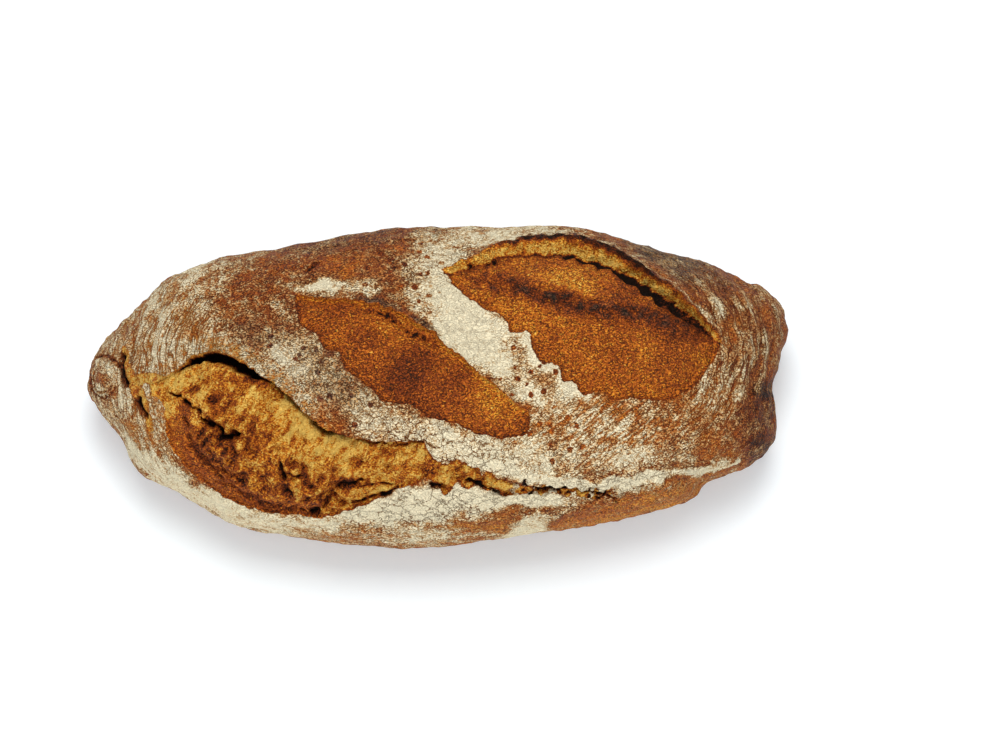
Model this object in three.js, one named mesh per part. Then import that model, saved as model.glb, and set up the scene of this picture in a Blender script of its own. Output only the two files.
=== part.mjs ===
// A long sourdough loaf with three slanting scores, as one closed solid. Millimetres, +Z up.
//
// The loaf stands on its flat base with its length along X. A ball of dough, the unit sphere, is
// cut into triangles that are small where the crust has fine form, and each of its points is moved
// to the bare loaf and then in or out by the scores, the tear and the folds of the two ends.
// The scores are drawn on the face of the loaf, a plane that leans a little towards the front (-Y):
// "along" runs with X, and "across" runs up that plane, towards the back.
import * as THREE from "three";
import { mergeVertices } from "three/addons/utils/BufferGeometryUtils.js";

// ---- Driving dimensions -------------------------------------------------------------------------
const LENGTH = 300; // tip to tip
const WIDTH = 135; // at the waist, across the middle
const HEIGHT = 86; // base to crown, between the scores
const WAIST = 36; // height of the widest line over the base
const FACE_LEAN = THREE.MathUtils.degToRad(12); // of the scored face, towards the front

// How each quarter of the plan closes in towards its tip: 1 - share ** power, to the 1 / root.
const PLAN = {
  leftBack: { power: 2, root: 2 },
  leftFront: { power: 2.1, root: 2 },
  rightBack: { power: 3, root: 3 },
  rightFront: { power: 2, root: 2 },
};
const CROWN = { left: { power: 2.3, root: 2 }, right: { power: 2.9, root: 2.4 } };
const UNDERSIDE = { power: 7, root: 2 };
const TIP_SWING = { left: 4, right: 3 }; // the tips lie this far behind the middle line
const TIP_DROP = 5; // and this far under the waist
const SECTION_ABOVE = 2.15; // superellipse powers of the section over and under the waist
const SECTION_BELOW = 2.7;
const UNDERCUT = 50; // the section would reach this far under the waist, and the base cuts it off
const BASE_ROUND = 5; // softness of the edge where the side meets the base
const SWELLS = { pitch: 46, height: 1.2, seed: 0.4 }; // slow unevenness of the whole crust
const DIMPLES = { pitch: 17, height: 0.45, seed: 1.7 };
// The uneven outline, seen square to the face, that the even form above is drawn out to: it bulges
// at the shoulders, narrows in steps to the rolled left tip, and has a cleft in the right end.
const OUTLINE = {
  through: [
    [149.8, 25], [144, 5.5], [142, 1], [144.2, -8], [144.4, -20], [141.5, -26], [133.5, -33],
    [113, -41], [109.5, -45.5], [91, -52], [61, -58], [10, -65.8], [-12, -67.1], [-46, -65.4],
    [-64, -62], [-88, -57.7], [-114, -42.7], [-128, -35], [-136, -21], [-148.5, -5], [-150, 1],
    [-148.3, 11.5], [-137, 25], [-121, 39.5], [-115, 46], [-91.5, 54.9], [-70, 59.4], [-38, 65.8],
    [-7, 67.7], [30, 68], [66, 66.8], [87, 61.6], [120, 51.8], [134, 43.6], [138.5, 42.6], [147, 33.5],
  ],
  squash: 2.22, // the loaf is this many times as long as it is wide
  held: 0.5, // nothing moves within this share of the way out to the outline
  slices: 720, // directions round the middle in which the two outlines are compared
  blur: 2, // slices on either side that each one is averaged with
  rows: 400, // of the even form's points, along and round it
};

// The right score. Its flap, the ear, stands up along the back edge; behind the gap under it the
// cut face swells out again. What changes along the ear runs from its left end to its right end.
const EAR = {
  height: 6, // of the flap's edge over the bare loaf
  flare: 4, // how fast the skin behind sinks back to the bare loaf
  blunt: 0.5, // how fast it shrinks towards its ends: a smaller power is blunter
  lip: [7, 2.5], // width of the flap's inner face, left and right
  gap: [1, 5], // width of the gap
  depth: [3.5, 8], // of the gap under the bare loaf
  slope: 3.5, // width of the swollen face's bank, at the gap
  belly: 3.4,
};
// The middle score, a long leaf: a thin raised lip along its back, and a swollen face.
const LEAF = { lip: 1.6, blunt: 0.5, flare: 4, belly: 3.2 };
// The torn score at the left: a flap over a deep slit, and a craggy swollen crumb.
const TEAR = {
  flap: 4,
  blunt: 0.6,
  flare: 9,
  slit: [5, 1], // its width, left and right of where it narrows
  narrows: [0.3, 0.7], // shares of the flap's length
  depth: 9,
  wall: 1.2,
  bank: 2.4, // width of the crumb's bank, at the slit
  overhang: 1,
  crumb: 3.2,
};
// What all three share: the face starts a little under the skin and swells within its width.
const FACE = { step: 1.1, stepWidth: 1.2, swell: 11, tip: 2.5 };
const CRAGS = [
  { pitch: 11, height: 1.7, seed: 2.1 },
  { pitch: 6, height: 1, seed: 5.3 },
];

// Grooves across the face: the line's name, its depth, and its half width from start to end.
const GROOVES = {
  crack: { depth: 7, width: [1, 2.6] },
  cave: { depth: 6, width: [2.2, 2] },
  pit: { depth: 5, width: [1.6, 1.6] },
  fold: { depth: 1.4, width: [3, 3] },
  skinCrack: { depth: 3, width: [2, 1.2] },
  tipSlit: { depth: 5, width: [1.8, 1.2] },
  sideSlit: { depth: 5, width: [1.4, 1.8] },
};
// The seam along the lower side: a ridge at its right, and the swollen side under it.
const SEAM = { ridge: 1.5, ridgeWidth: 3, ridgeFrom: 0.6, side: 1.9, bank: 4, end: 0.1 };
const FOLD_END = 0.12; // share of the fold over which the smooth face ends
// The rolled ends: a curl at the left tip, folds across the right end, and the cleft's hollow.
const CURL = { along: -143, across: 3, wide: 7, tall: 9, heart: 0.4, ring: 0.3, depth: 1.6 };
const FOLDS = { from: 122, over: 6, pitch: 7.5, depth: 0.9, bow: 0.006, middle: 15, above: 14 };
const CLEFT = { along: 147, across: 1, tall: 5, long: 10, depth: 2 };

// ---- Small helpers ------------------------------------------------------------------------------
const { smoothstep, clamp, lerp } = THREE.MathUtils;
const hump = (distance, reach) => Math.exp(-((distance / reach) ** 2));
const spindle = (share, power) => Math.sin(Math.PI * clamp(share, 0, 1)) ** power;

// A smooth maximum of a value and zero, exactly zero below -softness.
function aboveBase(value, softness) {
  const overlap = Math.max(softness - Math.abs(value), 0) / softness;
  return Math.max(value, 0) + (overlap * overlap * softness) / 4;
}

// A height that wanders up and down, with lumps about one pitch apart. It adds waves whose
// directions turn by the golden angle and whose lengths differ, so that it never repeats.
const GOLDEN_ANGLE = Math.PI * (3 - Math.sqrt(5));
const WAVES = 9;
const WAVE_SPREAD = 0.5;
const WAVE_GAIN = 1.4 / WAVES;
function lumps(point, { pitch, height, seed }) {
  let sum = 0;
  for (let i = 0; i < WAVES; i++) {
    const tilt = 1 - (2 * (i + 0.5)) / WAVES;
    const turn = GOLDEN_ANGLE * i + seed;
    const level = Math.sqrt(1 - tilt * tilt);
    const stretch = (2 * Math.PI * (1 + WAVE_SPREAD * (i / WAVES - 0.5))) / pitch;
    const ahead = point.x * level * Math.cos(turn) + point.y * level * Math.sin(turn);
    sum += Math.sin((ahead + point.z * tilt) * stretch + seed * (i + 1));
  }
  return height * WAVE_GAIN * sum;
}

// ---- Lines and outlines drawn on the face -------------------------------------------------------
const LINE_STEP = 2.5; // millimetres between the points that stand for a curve
const OUTLINE_STEP = 0.3;

// A curve through a few (along, across) points.
class Line {
  constructor(points, step = LINE_STEP) {
    const corners = points.map(([along, across]) => new THREE.Vector3(along, across, 0));
    const curve = new THREE.CatmullRomCurve3(corners, false, "centripetal");
    this.points = curve.getSpacedPoints(Math.ceil(curve.getLength() / step));
  }

  // Where the line comes closest to a face point: the place, its distance, its share of the line's
  // length, and the side: +1 when the point is left of the line's direction and -1 when it is right.
  near(along, across) {
    let best = { distance: Infinity };
    const last = this.points.length - 1;
    for (let i = 0; i < last; i++) {
      const a = this.points[i];
      const b = this.points[i + 1];
      const [dx, dy] = [b.x - a.x, b.y - a.y];
      const t = clamp(((along - a.x) * dx + (across - a.y) * dy) / (dx * dx + dy * dy), 0, 1);
      const place = [a.x + t * dx, a.y + t * dy];
      const distance = Math.hypot(along - place[0], across - place[1]);
      if (distance < best.distance) {
        const side = dx * (across - place[1]) >= dy * (along - place[0]) ? 1 : -1;
        best = { place, distance, share: (i + t) / last, side };
      }
    }
    return best;
  }

  // Whether a face point has an odd number of the line's crossings to its right.
  crossed(along, across) {
    let odd = false;
    for (let i = 0; i + 1 < this.points.length; i++) {
      const a = this.points[i];
      const b = this.points[i + 1];
      const spans = a.y > across !== b.y > across;
      if (spans && along < a.x + ((b.x - a.x) * (across - a.y)) / (b.y - a.y)) odd = !odd;
    }
    return odd;
  }
}

// A score: its back edge from left to right, and its front edge through the points from right to
// left, which together close the rim.
class Score {
  constructor(back, front) {
    this.back = new Line(back);
    this.front = new Line([back.at(-1), ...front, back[0]]);
  }

  // Where a face point lies by the score: the nearest places of its two edges, how far inside the
  // rim it is (negative outside), and its tip: 0 on the front edge, 1 a little way from it.
  at(along, across) {
    const back = this.back.near(along, across);
    const front = this.front.near(along, across);
    const within = this.back.crossed(along, across) !== this.front.crossed(along, across);
    const inside = Math.min(back.distance, front.distance) * (within ? 1 : -1);
    const rim = back.distance < front.distance ? back : front;
    return { back, rim, inside, tip: smoothstep(front.distance, 0, FACE.tip) };
  }
}

const earScore = new Score(
  [
    [2, 50], [13, 54], [26, 59], [40, 62], [54, 62.5], [68, 60], [82, 53.5], [95, 44.5],
    [107, 35], [121, 20],
  ],
  [
    [116, 10], [108, 0], [96, -5], [84, -4.5], [75, -5], [70, -1], [62, -2.5], [59, 1.5],
    [53.5, 4], [52, 10], [46, 10.5], [41, 16], [38.5, 24], [32, 23.5], [29, 30], [18, 35], [8, 43],
  ],
);
const leafScore = new Score(
  [
    [-59, 39], [-45, 37.5], [-30, 36], [-18, 32.5], [-5, 26], [5, 17.5], [17, 7.5], [30, -3],
    [39, -11],
  ],
  [
    [39, -19], [29, -22], [18, -20], [6, -15], [-4, -12], [-10, -6.5], [-21, -6], [-29, 1],
    [-38, 8], [-41, 14.5], [-47, 16], [-50, 23], [-56, 25.5], [-59, 32],
  ],
);
const tearScore = new Score(
  [
    [-122, 2], [-110, 8], [-102, 14.5], [-90, 16], [-78, 9.5], [-65, 1], [-54, -10], [-42, -17.5],
    [-24, -21], [-5, -22],
  ],
  [
    [-1, -29], [12, -30.5], [24, -37], [38, -40.5], [56, -42], [78, -46.5], [56, -45.5],
    [40, -47], [26, -45], [12, -41], [2, -43.5], [-8, -38.5], [-20, -44.5], [-32, -50],
    [-48, -54.5], [-66, -55], [-84, -51.5], [-99, -43.5], [-109, -32.5], [-115, -19],
    [-115.5, -6], [-121, -2],
  ],
);
const SCORES = [earScore, leafScore, tearScore];

// The lines of the grooves. Between the fold and the tear's lower left rim the face stays smooth.
const GROOVE_LINES = {
  crack: new Line([[-116, -2], [-108, -4.5], [-99, -12.5], [-91, -19.5], [-83, -19]]),
  cave: new Line([[-51, -52], [-44, -43], [-33, -40.5], [-20, -44], [-8, -41]]),
  pit: new Line([[-65, -33], [-64.5, -39], [-58, -39]]),
  fold: new Line([[-106, -6], [-105, -19], [-97, -32], [-84, -43], [-68, -49.5], [-52, -52]]),
  skinCrack: new Line([[-4, -40.5], [10, -39.5], [20, -43], [30, -44.5], [44, -43.5], [60, -44]]),
  tipSlit: new Line([[-134, 14], [-134, 7], [-132, 0]]),
  sideSlit: new Line([[-127.5, -3], [-126, -8], [-124, -13]]),
};
const seamLine = new Line(
  [[-80, -58], [-40, -58.5], [0, -55], [40, -50], [78, -45], [97, -38], [127, -31]],
);

// ---- Relief: how far the crust moves out of the bare loaf, in millimetres -------------------------
// The swollen face of a score, a given distance inside its rim.
function swollen(inside, belly) {
  return belly * (1 - hump(inside, FACE.swell)) - FACE.step * smoothstep(inside, 0, FACE.stepWidth);
}

// The skin behind a score, which rises to its back edge.
function flared({ back }, lift, flare) {
  return back.side > 0 ? lift * Math.exp(-back.distance / flare) : 0;
}

// The right score: the ear rises to its edge, its inner face falls to the gap, and the cut face
// swells up again in front of it.
function earRelief(along, across) {
  const place = earScore.at(along, across);
  const { distance, share } = place.back;
  const size = spindle(share, EAR.blunt) * place.tip;
  const lift = EAR.height * size;
  if (place.inside <= 0) return flared(place, lift, EAR.flare);
  const lip = size * lerp(...EAR.lip, share);
  const gap = size * lerp(...EAR.gap, share);
  const bottom = -size * lerp(...EAR.depth, share);
  const fall = clamp(distance / (lip + FACE.stepWidth), 0, 1);
  const rise = smoothstep(distance, lip + gap, lip + gap + EAR.slope);
  return lerp(lerp(lift, bottom, fall), swollen(place.inside, EAR.belly), rise);
}

// The middle score.
function leafRelief(along, across) {
  const place = leafScore.at(along, across);
  const lip = LEAF.lip * spindle(place.back.share, LEAF.blunt) * place.tip;
  if (place.inside <= 0) return flared(place, lip, LEAF.flare);
  const wall = smoothstep(place.back.distance, 0, FACE.stepWidth);
  return lerp(lip, swollen(place.inside, LEAF.belly), wall);
}

// How rough the torn crumb is: 0 on the smooth face between the fold and the lower left rim.
function roughness(along, across) {
  const { distance, side, share } = GROOVE_LINES.fold.near(along, across);
  const past = Math.max(smoothstep(FOLD_END - share, 0, FOLD_END), smoothstep(share, 1 - FOLD_END, 1));
  return smoothstep(distance, 0, FACE.swell) * (side > 0 ? 1 : past);
}

// The torn score.
function tearRelief(along, across, point) {
  const place = tearScore.at(along, across);
  const { distance, share } = place.back;
  const size = spindle(share, TEAR.blunt) * place.tip;
  const flap = TEAR.flap * size;
  if (place.inside <= 0) return flared(place, flap, TEAR.flare);
  const crags = CRAGS.reduce((sum, crag) => sum + lumps(point, crag), 0);
  const inward = smoothstep(place.inside, 0, FACE.tip);
  const crumb = swollen(place.inside, TEAR.crumb) + inward * roughness(along, across) * crags;
  const slit = size * lerp(...TEAR.slit, smoothstep(share, ...TEAR.narrows));
  const wall = smoothstep(distance, 0, TEAR.wall);
  const bank = smoothstep(distance, slit, slit + TEAR.bank);
  return lerp(lerp(flap, -TEAR.depth * size, wall), crumb, bank);
}

// The grooves, the seam along the lower side and the forms of the two ends.
function skinRelief(along, across) {
  let out = 0;
  for (const [name, { depth, width }] of Object.entries(GROOVES)) {
    const near = GROOVE_LINES[name].near(along, across);
    out -= depth * hump(near.distance, lerp(...width, near.share));
  }
  const seam = seamLine.near(along, across);
  const ridge = smoothstep(seam.share, SEAM.ridgeFrom, 1);
  out += SEAM.ridge * ridge * hump(seam.distance, SEAM.ridgeWidth);
  const ends = smoothstep(Math.min(seam.share, 1 - seam.share), 0, SEAM.end);
  if (seam.side < 0) out += SEAM.side * ends * smoothstep(seam.distance, 0, SEAM.bank);
  return out;
}

function endRelief(along, across) {
  const radius = Math.hypot((along - CURL.along) / CURL.wide, (across - CURL.across) / CURL.tall);
  const curl = hump(radius, CURL.heart) - hump(radius - 1, CURL.ring);
  const arc = along + FOLDS.bow * (across - FOLDS.middle) ** 2;
  const folded =
    smoothstep(along, FOLDS.from, FOLDS.from + FOLDS.over) * smoothstep(across, 0, FOLDS.above);
  const cleft = hump(across - CLEFT.across, CLEFT.tall) * hump(along - CLEFT.along, CLEFT.long);
  return (
    CURL.depth * curl +
    FOLDS.depth * folded * Math.sin((2 * Math.PI * arc) / FOLDS.pitch) -
    CLEFT.depth * cleft
  );
}

// The flap of the tear leans out over its slit, this far down the face.
function overhang(along, across) {
  const edge = tearScore.back.near(along, across);
  return TEAR.overhang * spindle(edge.share, TEAR.blunt) * hump(edge.distance, TEAR.wall / 2);
}

// ---- The loaf's surface ---------------------------------------------------------------------------
const FACE_UP = new THREE.Vector3(0, Math.cos(FACE_LEAN), Math.sin(FACE_LEAN));
const FACE_OUT = new THREE.Vector3(0, -Math.sin(FACE_LEAN), Math.cos(FACE_LEAN));
const acrossOf = (point) => point.dot(FACE_UP) - WAIST * Math.sin(FACE_LEAN);
const taper = (share, { power, root }) => (1 - Math.abs(share) ** power) ** (1 / root);

// A point of the dough ball moved to the loaf's even form, with no scores.
function evenLoaf(ball) {
  const share = clamp(ball.x, -1, 1);
  const end = share < 0 ? "left" : "right";
  const ring = Math.hypot(ball.y, ball.z) || Number.MIN_VALUE;
  const [sideways, up] = [ball.y / ring, ball.z / ring];
  const power = up > 0 ? SECTION_ABOVE : SECTION_BELOW;
  const reach = (WIDTH / 2) * taper(share, PLAN[end + (sideways > 0 ? "Back" : "Front")]);
  const crown = (HEIGHT - WAIST) * taper(share, CROWN[end]);
  const under = -UNDERCUT * taper(share, UNDERSIDE);
  return new THREE.Vector3(
    (LENGTH / 2) * share,
    TIP_SWING[end] * share ** 4 + reach * Math.sign(sideways) * Math.abs(sideways) ** (2 / power),
    WAIST - TIP_DROP * share ** 4 + (up > 0 ? crown : under) * Math.abs(up) ** (2 / power),
  );
}

// A face point's direction from the middle, in turns, and its reach, with the loaf squashed round.
const turnOf = (along, across) => Math.atan2(across * OUTLINE.squash, along) / (2 * Math.PI) + 1;
const reachOf = (along, across) => Math.hypot(along, across * OUTLINE.squash);

// How far some face points reach out at most, in each of many directions.
function outermost(places) {
  const { slices, blur } = OUTLINE;
  const most = new Array(slices).fill(0);
  for (const [along, across] of places) {
    const slice = Math.floor(turnOf(along, across) * slices) % slices;
    most[slice] = Math.max(most[slice], reachOf(along, across));
  }
  const around = (i) => most.slice(i, i + 2 * blur + 1);
  most.push(...most.slice(0, 2 * blur));
  return most.slice(0, slices).map((_, i) => {
    return around(i).reduce((sum, reach) => sum + reach) / (2 * blur + 1);
  });
}

// The reach in one direction.
function reachAt(reaches, turn) {
  const place = turn * OUTLINE.slices - 0.5 - OUTLINE.blur;
  const slice = Math.floor(place);
  const [before, after] = [slice, slice + 1].map((i) => reaches[i % OUTLINE.slices]);
  return lerp(before, after, place - slice);
}

function evenPlaces() {
  const places = [];
  for (let row = 0; row < OUTLINE.rows; row++) {
    const share = Math.sin(Math.PI * ((row + 0.5) / OUTLINE.rows - 0.5));
    const ring = Math.sqrt(1 - share * share);
    for (let column = 0; column < OUTLINE.rows; column++) {
      const turn = (2 * Math.PI * column) / OUTLINE.rows;
      const ball = new THREE.Vector3(share, ring * Math.cos(turn), ring * Math.sin(turn));
      const point = evenLoaf(ball);
      places.push([point.x, acrossOf(point)]);
    }
  }
  return places;
}

const evenReaches = outermost(evenPlaces());
const outline = new Line([...OUTLINE.through, OUTLINE.through[0]], OUTLINE_STEP);
const unevenReaches = outermost(outline.points.map(({ x, y }) => [x, y]));

// A point of the dough ball moved to the bare loaf: the even form drawn out to the outline.
function bareLoaf(ball) {
  const point = evenLoaf(ball);
  const [along, across] = [point.x, acrossOf(point)];
  const turn = turnOf(along, across);
  const even = reachAt(evenReaches, turn);
  const pull = smoothstep(reachOf(along, across) / even, OUTLINE.held, 1);
  const stretch = pull * (reachAt(unevenReaches, turn) / even - 1);
  point.x += along * stretch;
  return point.addScaledVector(FACE_UP, across * stretch);
}

const NUDGE = 4e-3; // a small step over the ball
const POLE = 0.1;

// Two directions over the ball at a point of it, and how the bare loaf moves along each.
function frameAt(ball) {
  const side = new THREE.Vector3(-ball.y, ball.x, 0);
  if (side.length() < POLE) side.set(0, -ball.z, ball.y);
  side.normalize();
  const ways = [side, new THREE.Vector3().crossVectors(ball, side)];
  const moves = ways.map((way) => {
    const ahead = bareLoaf(ball.clone().addScaledVector(way, NUDGE).normalize());
    return ahead.sub(bareLoaf(ball.clone().addScaledVector(way, -NUDGE).normalize()));
  });
  return { ways, moves, normal: moves[0].clone().cross(moves[1]).normalize() };
}

// 1 where the crust faces the scores' side, and 0 where it is turned away.
const AWAY = -0.1;
const TOWARDS = 0.12;
const facing = (normal) => smoothstep(normal.dot(FACE_OUT), AWAY, TOWARDS);

// The point of the finished crust for a point of the ball.
function crust(ball) {
  const point = bareLoaf(ball);
  const { normal } = frameAt(ball);
  const [along, across] = [point.x, acrossOf(point)];
  const face = facing(normal);
  const rise = normal.clone().addScaledVector(FACE_OUT, face).normalize();
  let out = lumps(point, SWELLS) + lumps(point, DIMPLES);
  if (face > 0) {
    const relief = earRelief(along, across) + leafRelief(along, across);
    const ends = skinRelief(along, across) + endRelief(along, across);
    out += face * (relief + tearRelief(along, across, point) + ends);
    point.addScaledVector(FACE_UP, -face * overhang(along, across));
  }
  point.addScaledVector(rise, out);
  point.z = aboveBase(point.z, BASE_ROUND);
  return point;
}

// ---- Triangles ------------------------------------------------------------------------------------
const START_DETAIL = 7;
const LONGEST = { rim: 5, cut: 8, end: 4.5, skin: 14, under: 20 }; // edges, millimetres
const RIM_BAND = 2.5;
const SHORTEST = 3.4;
const SLACK = 0.7; // how far an edge may stray from the crust, unless it is as short as that
const SNAP = 0.25; // a new point moves onto a rim within this share of its edge's length
const ROUNDS = 8;

// The longest edge that suits the crust at a point of the ball.
function longestEdge(ball) {
  if (facing(frameAt(ball).normal) === 0) return LONGEST.under;
  const point = bareLoaf(ball);
  const across = acrossOf(point);
  const depths = SCORES.map((score) => score.at(point.x, across).inside);
  if (Math.min(...depths.map(Math.abs)) < RIM_BAND) return LONGEST.rim;
  if (point.x < -FOLDS.from || (point.x > FOLDS.from && across > 0)) return LONGEST.end;
  return Math.max(...depths) > 0 ? LONGEST.cut : LONGEST.skin;
}

// A point of the ball moved so that it lies on the nearest score's rim, or null if that is too far.
function snapped(ball, reach) {
  const point = bareLoaf(ball);
  const { ways, moves, normal } = frameAt(ball);
  const rims = SCORES.map((score) => score.at(point.x, acrossOf(point)).rim);
  const nearest = rims.reduce((best, rim) => (rim.distance < best.distance ? rim : best));
  if (nearest.distance > reach || facing(normal) < 1) return null;
  const [gapX, gapY] = [nearest.place[0] - point.x, nearest.place[1] - acrossOf(point)];
  const [[ax, ay], [bx, by]] = moves.map((move) => [move.x, move.dot(FACE_UP)]);
  const flatness = (ax * by - ay * bx) / (2 * NUDGE);
  const first = (gapX * by - gapY * bx) / flatness;
  const second = (gapY * ax - gapX * ay) / flatness;
  return ball.clone().addScaledVector(ways[0], first).addScaledVector(ways[1], second).normalize();
}

// The dough ball's points and triangles, which gain more wherever the crust has fine form.
class Dough {
  constructor(balls, triangles) {
    this.balls = balls;
    this.placed = balls.map(crust);
    this.onRim = balls.map(() => false);
    this.triangles = triangles;
  }

  // The index of a new point in the middle of an edge, or -1 if the edge may stay whole. The point
  // is moved onto a rim only if neither end is on one, or both are.
  middle(a, b) {
    const way = bareLoaf(this.balls[a]).sub(bareLoaf(this.balls[b]));
    const reach = SNAP * Math.hypot(way.x, way.dot(FACE_UP));
    const halfway = this.balls[a].clone().add(this.balls[b]).normalize();
    const tied = this.onRim[a] === this.onRim[b] ? snapped(halfway, reach) : null;
    const ball = tied ?? halfway;
    const point = crust(ball);
    const [start, end] = [this.placed[a], this.placed[b]];
    const length = start.distanceTo(end);
    const stray = start.clone().add(end).multiplyScalar(0.5).distanceTo(point);
    if (length < SHORTEST || (stray < SLACK && length < longestEdge(ball))) return -1;
    this.placed.push(point);
    this.onRim.push(tied !== null);
    return this.balls.push(ball) - 1;
  }

  // Splits every edge that is too long or that strays from the crust, in rounds.
  refine() {
    for (let round = 0; round < ROUNDS; round++) {
      const middles = new Map();
      const middleOf = (a, b) => {
        const key = [Math.min(a, b), Math.max(a, b)].join();
        if (!middles.has(key)) middles.set(key, this.middle(a, b));
        return middles.get(key);
      };
      this.triangles = this.triangles.flatMap(([a, b, c]) =>
        split(a, b, c, middleOf(a, b), middleOf(b, c), middleOf(c, a)),
      );
    }
  }
}

// The triangles that replace one whose edges ab, bc and ca have middles, or -1 where they stay whole.
function split(a, b, c, ab, bc, ca) {
  const count = (ab >= 0) + (bc >= 0) + (ca >= 0);
  if (count === 0) return [[a, b, c]];
  if (count === 3) return [[a, ab, ca], [ab, b, bc], [ca, bc, c], [ab, bc, ca]];
  // Turns the triangle until ab is split and, of two splits, ca is the whole edge.
  if (ab < 0 || (count === 2 && bc < 0)) return split(b, c, a, bc, ca, ab);
  if (count === 1) return [[a, ab, c], [ab, b, c]];
  return [[ab, b, bc], [a, ab, c], [ab, bc, c]];
}

function loafGeometry() {
  const start = new THREE.IcosahedronGeometry(1, START_DETAIL);
  start.deleteAttribute("normal");
  start.deleteAttribute("uv");
  const merged = mergeVertices(start);
  const position = merged.getAttribute("position");
  const balls = [];
  for (let i = 0; i < position.count; i++) {
    balls.push(new THREE.Vector3().fromBufferAttribute(position, i).normalize());
  }
  const faces = [];
  for (let i = 0; i < merged.index.count; i += 3) {
    faces.push([merged.index.getX(i), merged.index.getX(i + 1), merged.index.getX(i + 2)]);
  }
  const dough = new Dough(balls, faces);
  dough.refine();
  const geometry = new THREE.BufferGeometry().setFromPoints(dough.placed);
  geometry.setIndex(dough.triangles.flat());
  geometry.computeBoundingBox();
  const { min, max } = geometry.boundingBox;
  geometry.translate(-(min.x + max.x) / 2, -(min.y + max.y) / 2, -min.z);
  geometry.computeVertexNormals();
  return geometry;
}

const bakedCrust = new THREE.MeshStandardMaterial({
  color: new THREE.Color().setRGB(0.62, 0.36, 0.15, THREE.SRGBColorSpace),
  roughness: 0.8,
  metalness: 0,
});

const loaf = new THREE.Mesh(loafGeometry(), bakedCrust);
loaf.name = "loaf";

const part = new THREE.Group();
part.add(loaf);
export default part;
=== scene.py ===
"""A long floured sourdough loaf with three slanting scores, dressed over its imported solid.

Every form is worked out in millimetres in the loaf's own frame, from the same named sizes as the
solid: a ball of dough is cut finely where the crust has fine form, and its points are moved to the
bare loaf and then in or out by the scores, the tear and the folds of the ends. "Along" runs with X
on the scored face, and "across" runs up that face, towards the back. The cleft at the right end is
a millimetre fuller than in the solid.
"""
import logging
import math
from collections.abc import Callable
from dataclasses import dataclass, field
from enum import Enum

import bpy
import numpy as np
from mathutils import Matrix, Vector, noise


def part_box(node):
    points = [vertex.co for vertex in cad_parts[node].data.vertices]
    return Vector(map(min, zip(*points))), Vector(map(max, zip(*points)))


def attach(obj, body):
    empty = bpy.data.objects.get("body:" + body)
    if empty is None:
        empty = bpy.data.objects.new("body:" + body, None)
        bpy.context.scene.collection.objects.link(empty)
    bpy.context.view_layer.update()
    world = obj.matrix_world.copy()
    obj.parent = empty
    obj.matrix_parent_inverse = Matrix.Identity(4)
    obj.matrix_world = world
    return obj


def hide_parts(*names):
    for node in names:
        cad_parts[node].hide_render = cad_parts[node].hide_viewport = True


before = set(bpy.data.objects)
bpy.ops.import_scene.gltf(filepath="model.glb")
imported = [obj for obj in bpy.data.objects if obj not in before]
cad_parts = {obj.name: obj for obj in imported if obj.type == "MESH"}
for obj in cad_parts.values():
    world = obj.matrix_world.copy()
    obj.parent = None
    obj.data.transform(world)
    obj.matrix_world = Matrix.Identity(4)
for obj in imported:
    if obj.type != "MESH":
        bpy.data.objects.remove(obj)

LOG = logging.getLogger("loaf")
MM = 0.001
OUTSIDE = -50.0
FAR = 99.0
BARE = -0.5
NOISE_SHIFTS = np.array([17.3, 5.9, 11.1])
RIDGE_SHIFTS = np.array([7.7, 13.1, 3.3])
Points = list[tuple[float, float]]
Table = tuple[tuple[float, float], ...]
Rows = tuple[tuple[float, float, float], ...]
Values = np.ndarray | float
Socket = bpy.types.NodeSocket
Input = Socket | float
Rgb = tuple[int, int, int]
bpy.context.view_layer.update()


# ---- Small helpers ------------------------------------------------------------------------------
def smoothstep(value: np.ndarray, low: float, high: float) -> np.ndarray:
    """Return a smooth ramp from 0 at low to 1 at high."""
    share = np.clip((value - low) / (high - low), 0.0, 1.0)
    return share * share * (3.0 - 2.0 * share)


def hump(distance: np.ndarray, reach: Values) -> np.ndarray:
    """Return a soft hump, 1 at no distance and nearly 0 past twice the reach."""
    return np.exp(-((distance / reach) ** 2))


def lerp(start: Values, end: Values, share: np.ndarray) -> np.ndarray:
    """Return the blend of start and end."""
    return start + (end - start) * share


def spindle(share: np.ndarray, power: float) -> np.ndarray:
    """Return a height along a line that is 1 in its middle and 0 at its ends."""
    return np.sin(np.pi * np.clip(share, 0.0, 1.0)) ** power


def varied(share: np.ndarray, table: Table) -> np.ndarray:
    """Return a size that varies along a line, from a few (share, size) pairs."""
    return np.interp(share, *zip(*table))


def wander(points: np.ndarray, pitch: float, seed: float) -> np.ndarray:
    """Return smooth noise at some points.

    Args:
        points: places, one row each.
        pitch: the size of its lumps, in the unit of the points.
        seed: a number that picks one noise field of many.

    Returns:
        Values that mostly lie between -0.7 and 0.7.
    """
    return np.array([noise.noise(place) for place in (points / pitch + seed * NOISE_SHIFTS).tolist()])


def wanders(points: np.ndarray, pitch: float, *seeds: float) -> np.ndarray:
    """Return smooth noise with one column for each seed."""
    return np.column_stack([wander(points, pitch, seed) for seed in seeds])


def crumple(points: np.ndarray, pitch: float, seed: float, octaves: int) -> np.ndarray:
    """Return rough noise with sharp ridges.

    Args:
        points: places, one row each.
        pitch: the size of its largest lumps.
        seed: a number that picks one noise field of many.
        octaves: how many finer sizes are added to the largest.

    Returns:
        Values that mostly lie between -1 and 1.
    """
    smooth, finer, offset, gain, middle = 0.9, 2.1, 1.0, 1.6, 1.1
    places = (points / pitch + seed * RIDGE_SHIFTS).tolist()
    ridges = [noise.ridged_multi_fractal(p, smooth, finer, octaves, offset, gain) for p in places]
    return np.array(ridges) - middle


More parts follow.
